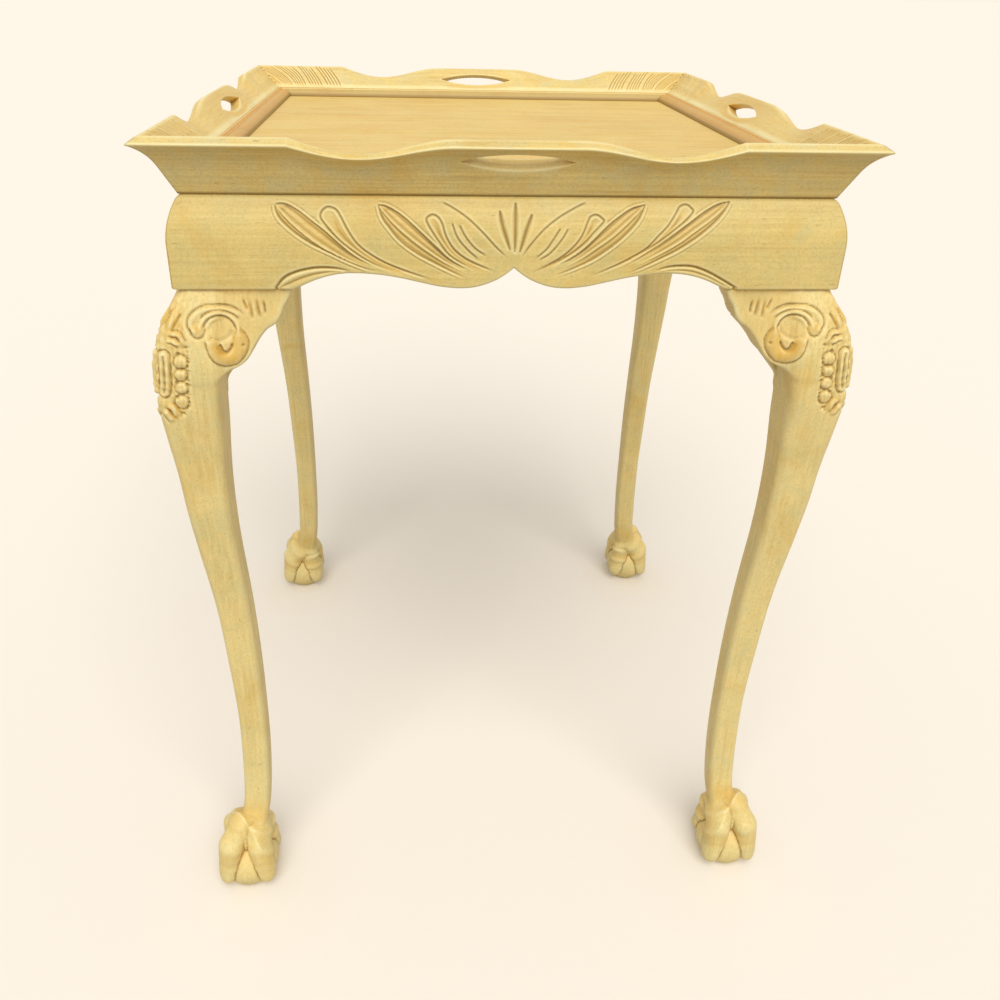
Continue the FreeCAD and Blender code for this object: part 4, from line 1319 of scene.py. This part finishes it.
def darker(colour, share):
    return srgb(*[c * share for c in colour])


def new_material(name):
    """A material, its node tree, its shader's inputs and the place on the board."""
    material = bpy.data.materials.new(name)
    material.use_nodes = True
    tree = material.node_tree
    place = add(tree, "TexCoord").outputs["Object"]
    return material, tree, tree.nodes["Principled BSDF"].inputs, place


def wood(name, along, pale, deep, stain, rubbed, limed=(208, 203, 158), bloom=0.3,
         bump=0.25, spots=0.5, rough=0.52):
    """A waxed board whose grain runs along X, Y or Z."""
    material, tree, shader, place = new_material(name)
    lines = stretch(tree, place, [GRAIN_LONG if axis == along else GRAIN_ACROSS for axis in "XYZ"])
    dashes = stretch(tree, place, [FLECK_LONG if axis == along else FLECK_ACROSS for axis in "XYZ"])
    lines = add(tree, "Group", {"Vector": lines}, node_tree=grain).outputs
    speck = add(tree, "Group", {"Vector": dashes, "Amount": spots}, node_tree=flecks).outputs
    tone = blend(tree, remap(tree, lines["Fibres"], 0.3, 0.7), srgb(*deep), srgb(*pale))
    cloud = noise(tree, place, 14.0, 3.0, 0.55)
    tone = blend(tree, remap(tree, cloud, 0.36, 0.64, 0.0, 0.5), tone, srgb(*pale))
    surface = add(tree, "Group", {"Vector": place, "Wood": tone, "Limed": srgb(*limed),
                                  "Bloom": bloom, "Pores": darker(deep, 0.84),
                                  "Wax": srgb(*stain)}, node_tree=bleached).outputs
    marked = blend(tree, speck["Mask"], surface["Color"], darker(deep, 0.72))
    relief, carved = (add(tree, "Attribute", attribute_name=mask).outputs["Fac"]
                      for mask in ("relief", "stain"))
    # Wear, the carver's stain, and dust with painted shade in the hollows
    worn = add(tree, "Group", {"Wood": marked, "Stain": srgb(*stain), "Rubbed": srgb(*rubbed),
                               "Relief": relief, "Carved": carved,
                               "Break up": surface["Blotches"]}, node_tree=aged_and_shaded).outputs
    tooth = add(tree, "Bump", {"Height": lines["Height"], "Strength": bump, "Distance": 0.0004})
    feed(tree, shader, {"Base Color": worn["Color"], "Normal": tooth.outputs["Normal"],
                        "Roughness": remap(tree, lines["Clouds"], 0.3, 0.7, rough - 0.06,
                                           rough + 0.08)})
    return material


print("khaki as nodes see it:", [round(c, 3) for c in srgb(244, 217, 138)])

# %% [markdown]
# The galleries and aprons are khaki, the legs a little paler, the tray's floor warmer,
# and the two side beads are of a redder wood than those in front and at the back.  Blocks
# and battens are bare pine, as nobody sees them, and the nails are rusty iron.

# %% The woods and the iron
KHAKI = dict(pale=(244, 217, 138), deep=(216, 186, 104), stain=(228, 180, 74), bloom=0.5,
             rubbed=(246, 232, 172), limed=(208, 199, 138))
PINE = dict(pale=(226, 196, 140), deep=(196, 160, 104), stain=(180, 130, 80),
            rubbed=(235, 212, 165), bump=0.5, rough=0.72)
gallery_wood = {
    "X": wood("gallery wood X", "X", **dict(KHAKI, deep=(206, 175, 98), bloom=0.6,
                                            limed=(214, 206, 158))),
    "Y": wood("gallery wood Y", "Y", **dict(KHAKI, pale=(242, 212, 132), deep=(226, 188, 104),
                                            limed=(222, 204, 140)))}
apron_wood = {axis: wood("apron wood " + axis, axis, **KHAKI) for axis in "XY"}
bare_wood = {axis: wood("bare pine " + axis, axis, **PINE) for axis in "XZ"}
leg_wood = wood("leg wood", "Z", pale=(252, 228, 154), deep=(228, 198, 120),
                stain=(226, 176, 62), rubbed=(248, 235, 178), limed=(212, 206, 148), bloom=0.5,
                bump=0.2)
floor_wood = wood("tray floor wood", "X", pale=(243, 211, 126), deep=(208, 166, 76),
                  stain=(226, 168, 78), rubbed=(252, 236, 170), limed=(232, 207, 128),
                  bloom=0.6, bump=0.2, spots=0.8)
bead_wood = {"X": wood("straw bead", "X", pale=(244, 214, 132), deep=(228, 190, 105),
                       stain=(220, 160, 80), rubbed=(253, 238, 160), bloom=0.1),
             "Y": wood("reddish bead", "Y", pale=(255, 204, 112), deep=(250, 184, 90),
                       stain=(205, 130, 60), rubbed=(246, 208, 140), bloom=0.05)}


def iron(name, clean=(0.05, 0.045, 0.04, 1), rusty=(0.12, 0.075, 0.05, 1)):
    """Nail iron with a thin skin of rust, as linear colours."""
    material, tree, shader, place = new_material(name)
    rust = noise(tree, place, 900.0, 4.0)
    dents = add(tree, "Bump", {"Height": rust, "Strength": 0.4, "Distance": 0.0003})
    feed(tree, shader, {"Base Color": blend(tree, remap(tree, rust, 0.35, 0.62), clean, rusty),
                        "Metallic": 0.8, "Roughness": remap(tree, rust, 0.0, 1.0, 0.45, 0.8),
                        "Normal": dents.outputs["Normal"]})
    return material


nail_iron = iron("nail iron")
print(len(bpy.data.materials), "materials")

# %% [markdown]
# Each new board gets its wood by the side it stands on, since the grain has to run along
# it.  The plain pieces that nobody carved are finished as they came.

# %% Finish every piece
def finish(piece, material):
    piece.data.materials.clear()
    piece.data.materials.append(material)


for quarter in range(4):
    axis = "XY"[quarter % 2]
    finish(galleries[quarter], gallery_wood[axis])
    finish(aprons[quarter], apron_wood[axis])
    finish(beads[quarter], bead_wood[axis])
    finish(legs[quarter], leg_wood)
plain_pieces = {"tray_panel": floor_wood, "tray_batten_front": bare_wood["X"],
                "tray_batten_rear": bare_wood["X"], "batten_nails": nail_iron}
plain_pieces.update({"corner_block_" + name: bare_wood["Z"] for name in CORNERS})
for name, material in plain_pieces.items():
    finish(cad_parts[name], material)
print("finished", 4 * 4 + len(plain_pieces), "pieces")

# %% [markdown]
# ## A plain setting
# A pale cream floor runs out to a sky of the same cream.  The sky is even and a broad,
# soft lamp stands high in front, at a level at which the woods keep their written
# colours.  Floor and sky are cream where they are looked at, and duller or whiter in the
# light that they send on, so that they hardly tint the wood.

# %% Floor, backdrop and light
CREAM = srgb(252, 243, 228)
FLOOR_GLOW = (0.42, 0.38, 0.32, 1)           # what the floor sends back up
FLOOR_REACH = 60.0
SKY_LIGHT, LAMP_LIGHT = 0.55, 1.95
LAMP_SOFTNESS = math.radians(50)
LAMP_FROM = Vector((0.02, -0.62, 0.78))


def where_seen(tree, sent_on, seen):
    """One colour for the light that is sent on, another where it is looked at."""
    ray = add(tree, "LightPath").outputs
    looked_at = combine(tree, "MAXIMUM", ray["Is Camera Ray"], ray["Is Glossy Ray"])
    looked_at = combine(tree, "MAXIMUM", looked_at, ray["Is Transmission Ray"])
    return blend(tree, looked_at, sent_on, seen)


def cream_paper():
    material = bpy.data.materials.new("cream paper")
    material.use_nodes = True
    tree = material.node_tree
    tree.nodes.clear()
    matt = add(tree, "BsdfDiffuse", {"Color": where_seen(tree, FLOOR_GLOW, CREAM)})
    add(tree, "OutputMaterial", {"Surface": matt.outputs["BSDF"]})
    return material


def staged(name, data):
    """An object of the setting, which isn't part of the table."""
    thing = bpy.data.objects.new(name, data)
    bpy.context.scene.collection.objects.link(thing)
    thing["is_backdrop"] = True
    return thing


paper = bpy.data.meshes.new("paper")
corners = [(-1, -1), (1, -1), (1, 1), (-1, 1)]
paper.from_pydata([(x * FLOOR_REACH, y * FLOOR_REACH, 0) for x, y in corners], [], [range(4)])
paper.materials.append(cream_paper())
staged("paper", paper)

sky = bpy.data.worlds.new("even sky")
sky.use_nodes = True
feed(sky.node_tree, sky.node_tree.nodes["Background"].inputs,
     {"Color": where_seen(sky.node_tree, (SKY_LIGHT, SKY_LIGHT, SKY_LIGHT, 1), CREAM)})
lamp = bpy.data.lights.new("window", "SUN")
lamp.energy = LAMP_LIGHT
lamp.angle = LAMP_SOFTNESS
staged("window", lamp).rotation_euler = LAMP_FROM.to_track_quat("Z", "Y").to_euler()
scene = bpy.context.scene
scene.world = sky
scene.view_settings.view_transform = "Standard"
print("light and paper ready")

# %% [markdown]
# ## The view
# The camera stands in front of the table, a little to the left, and looks down at it.

# %% Camera
YAW, PITCH, ROLL = 0.0771006, 0.4657232, -0.0245896
CAMERA_AT = (-0.067942, -0.846414, 0.806118)
ahead = Vector((math.sin(YAW) * math.cos(PITCH), math.cos(YAW) * math.cos(PITCH),
                -math.sin(PITCH)))
right = Vector((math.cos(YAW), -math.sin(YAW), 0))
down = ahead.cross(right)
tilted_right = math.cos(ROLL) * right + math.sin(ROLL) * down
tilted_down = math.cos(ROLL) * down - math.sin(ROLL) * right
lens = bpy.data.cameras.new("view")
lens.sensor_width = 36.0
lens.lens = 31.859
lens.shift_x = 0.0191
lens.shift_y = -0.0791
camera = staged("view", lens)
turn = Matrix((tilted_right, -tilted_down, -ahead)).transposed()
camera.matrix_world = Matrix.Translation(CAMERA_AT) @ turn.to_4x4()
scene.camera = camera
print("camera at", CAMERA_AT)

# %% [markdown]
# ## The last look
# The box around every piece that is shown, the dressed ones and the plain ones left
# in view, is printed. The dressed table has to stay inside the plain one's.

# %% Print the box that is seen
low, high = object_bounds()
print("seen box (m):", tuple(low), tuple(high))
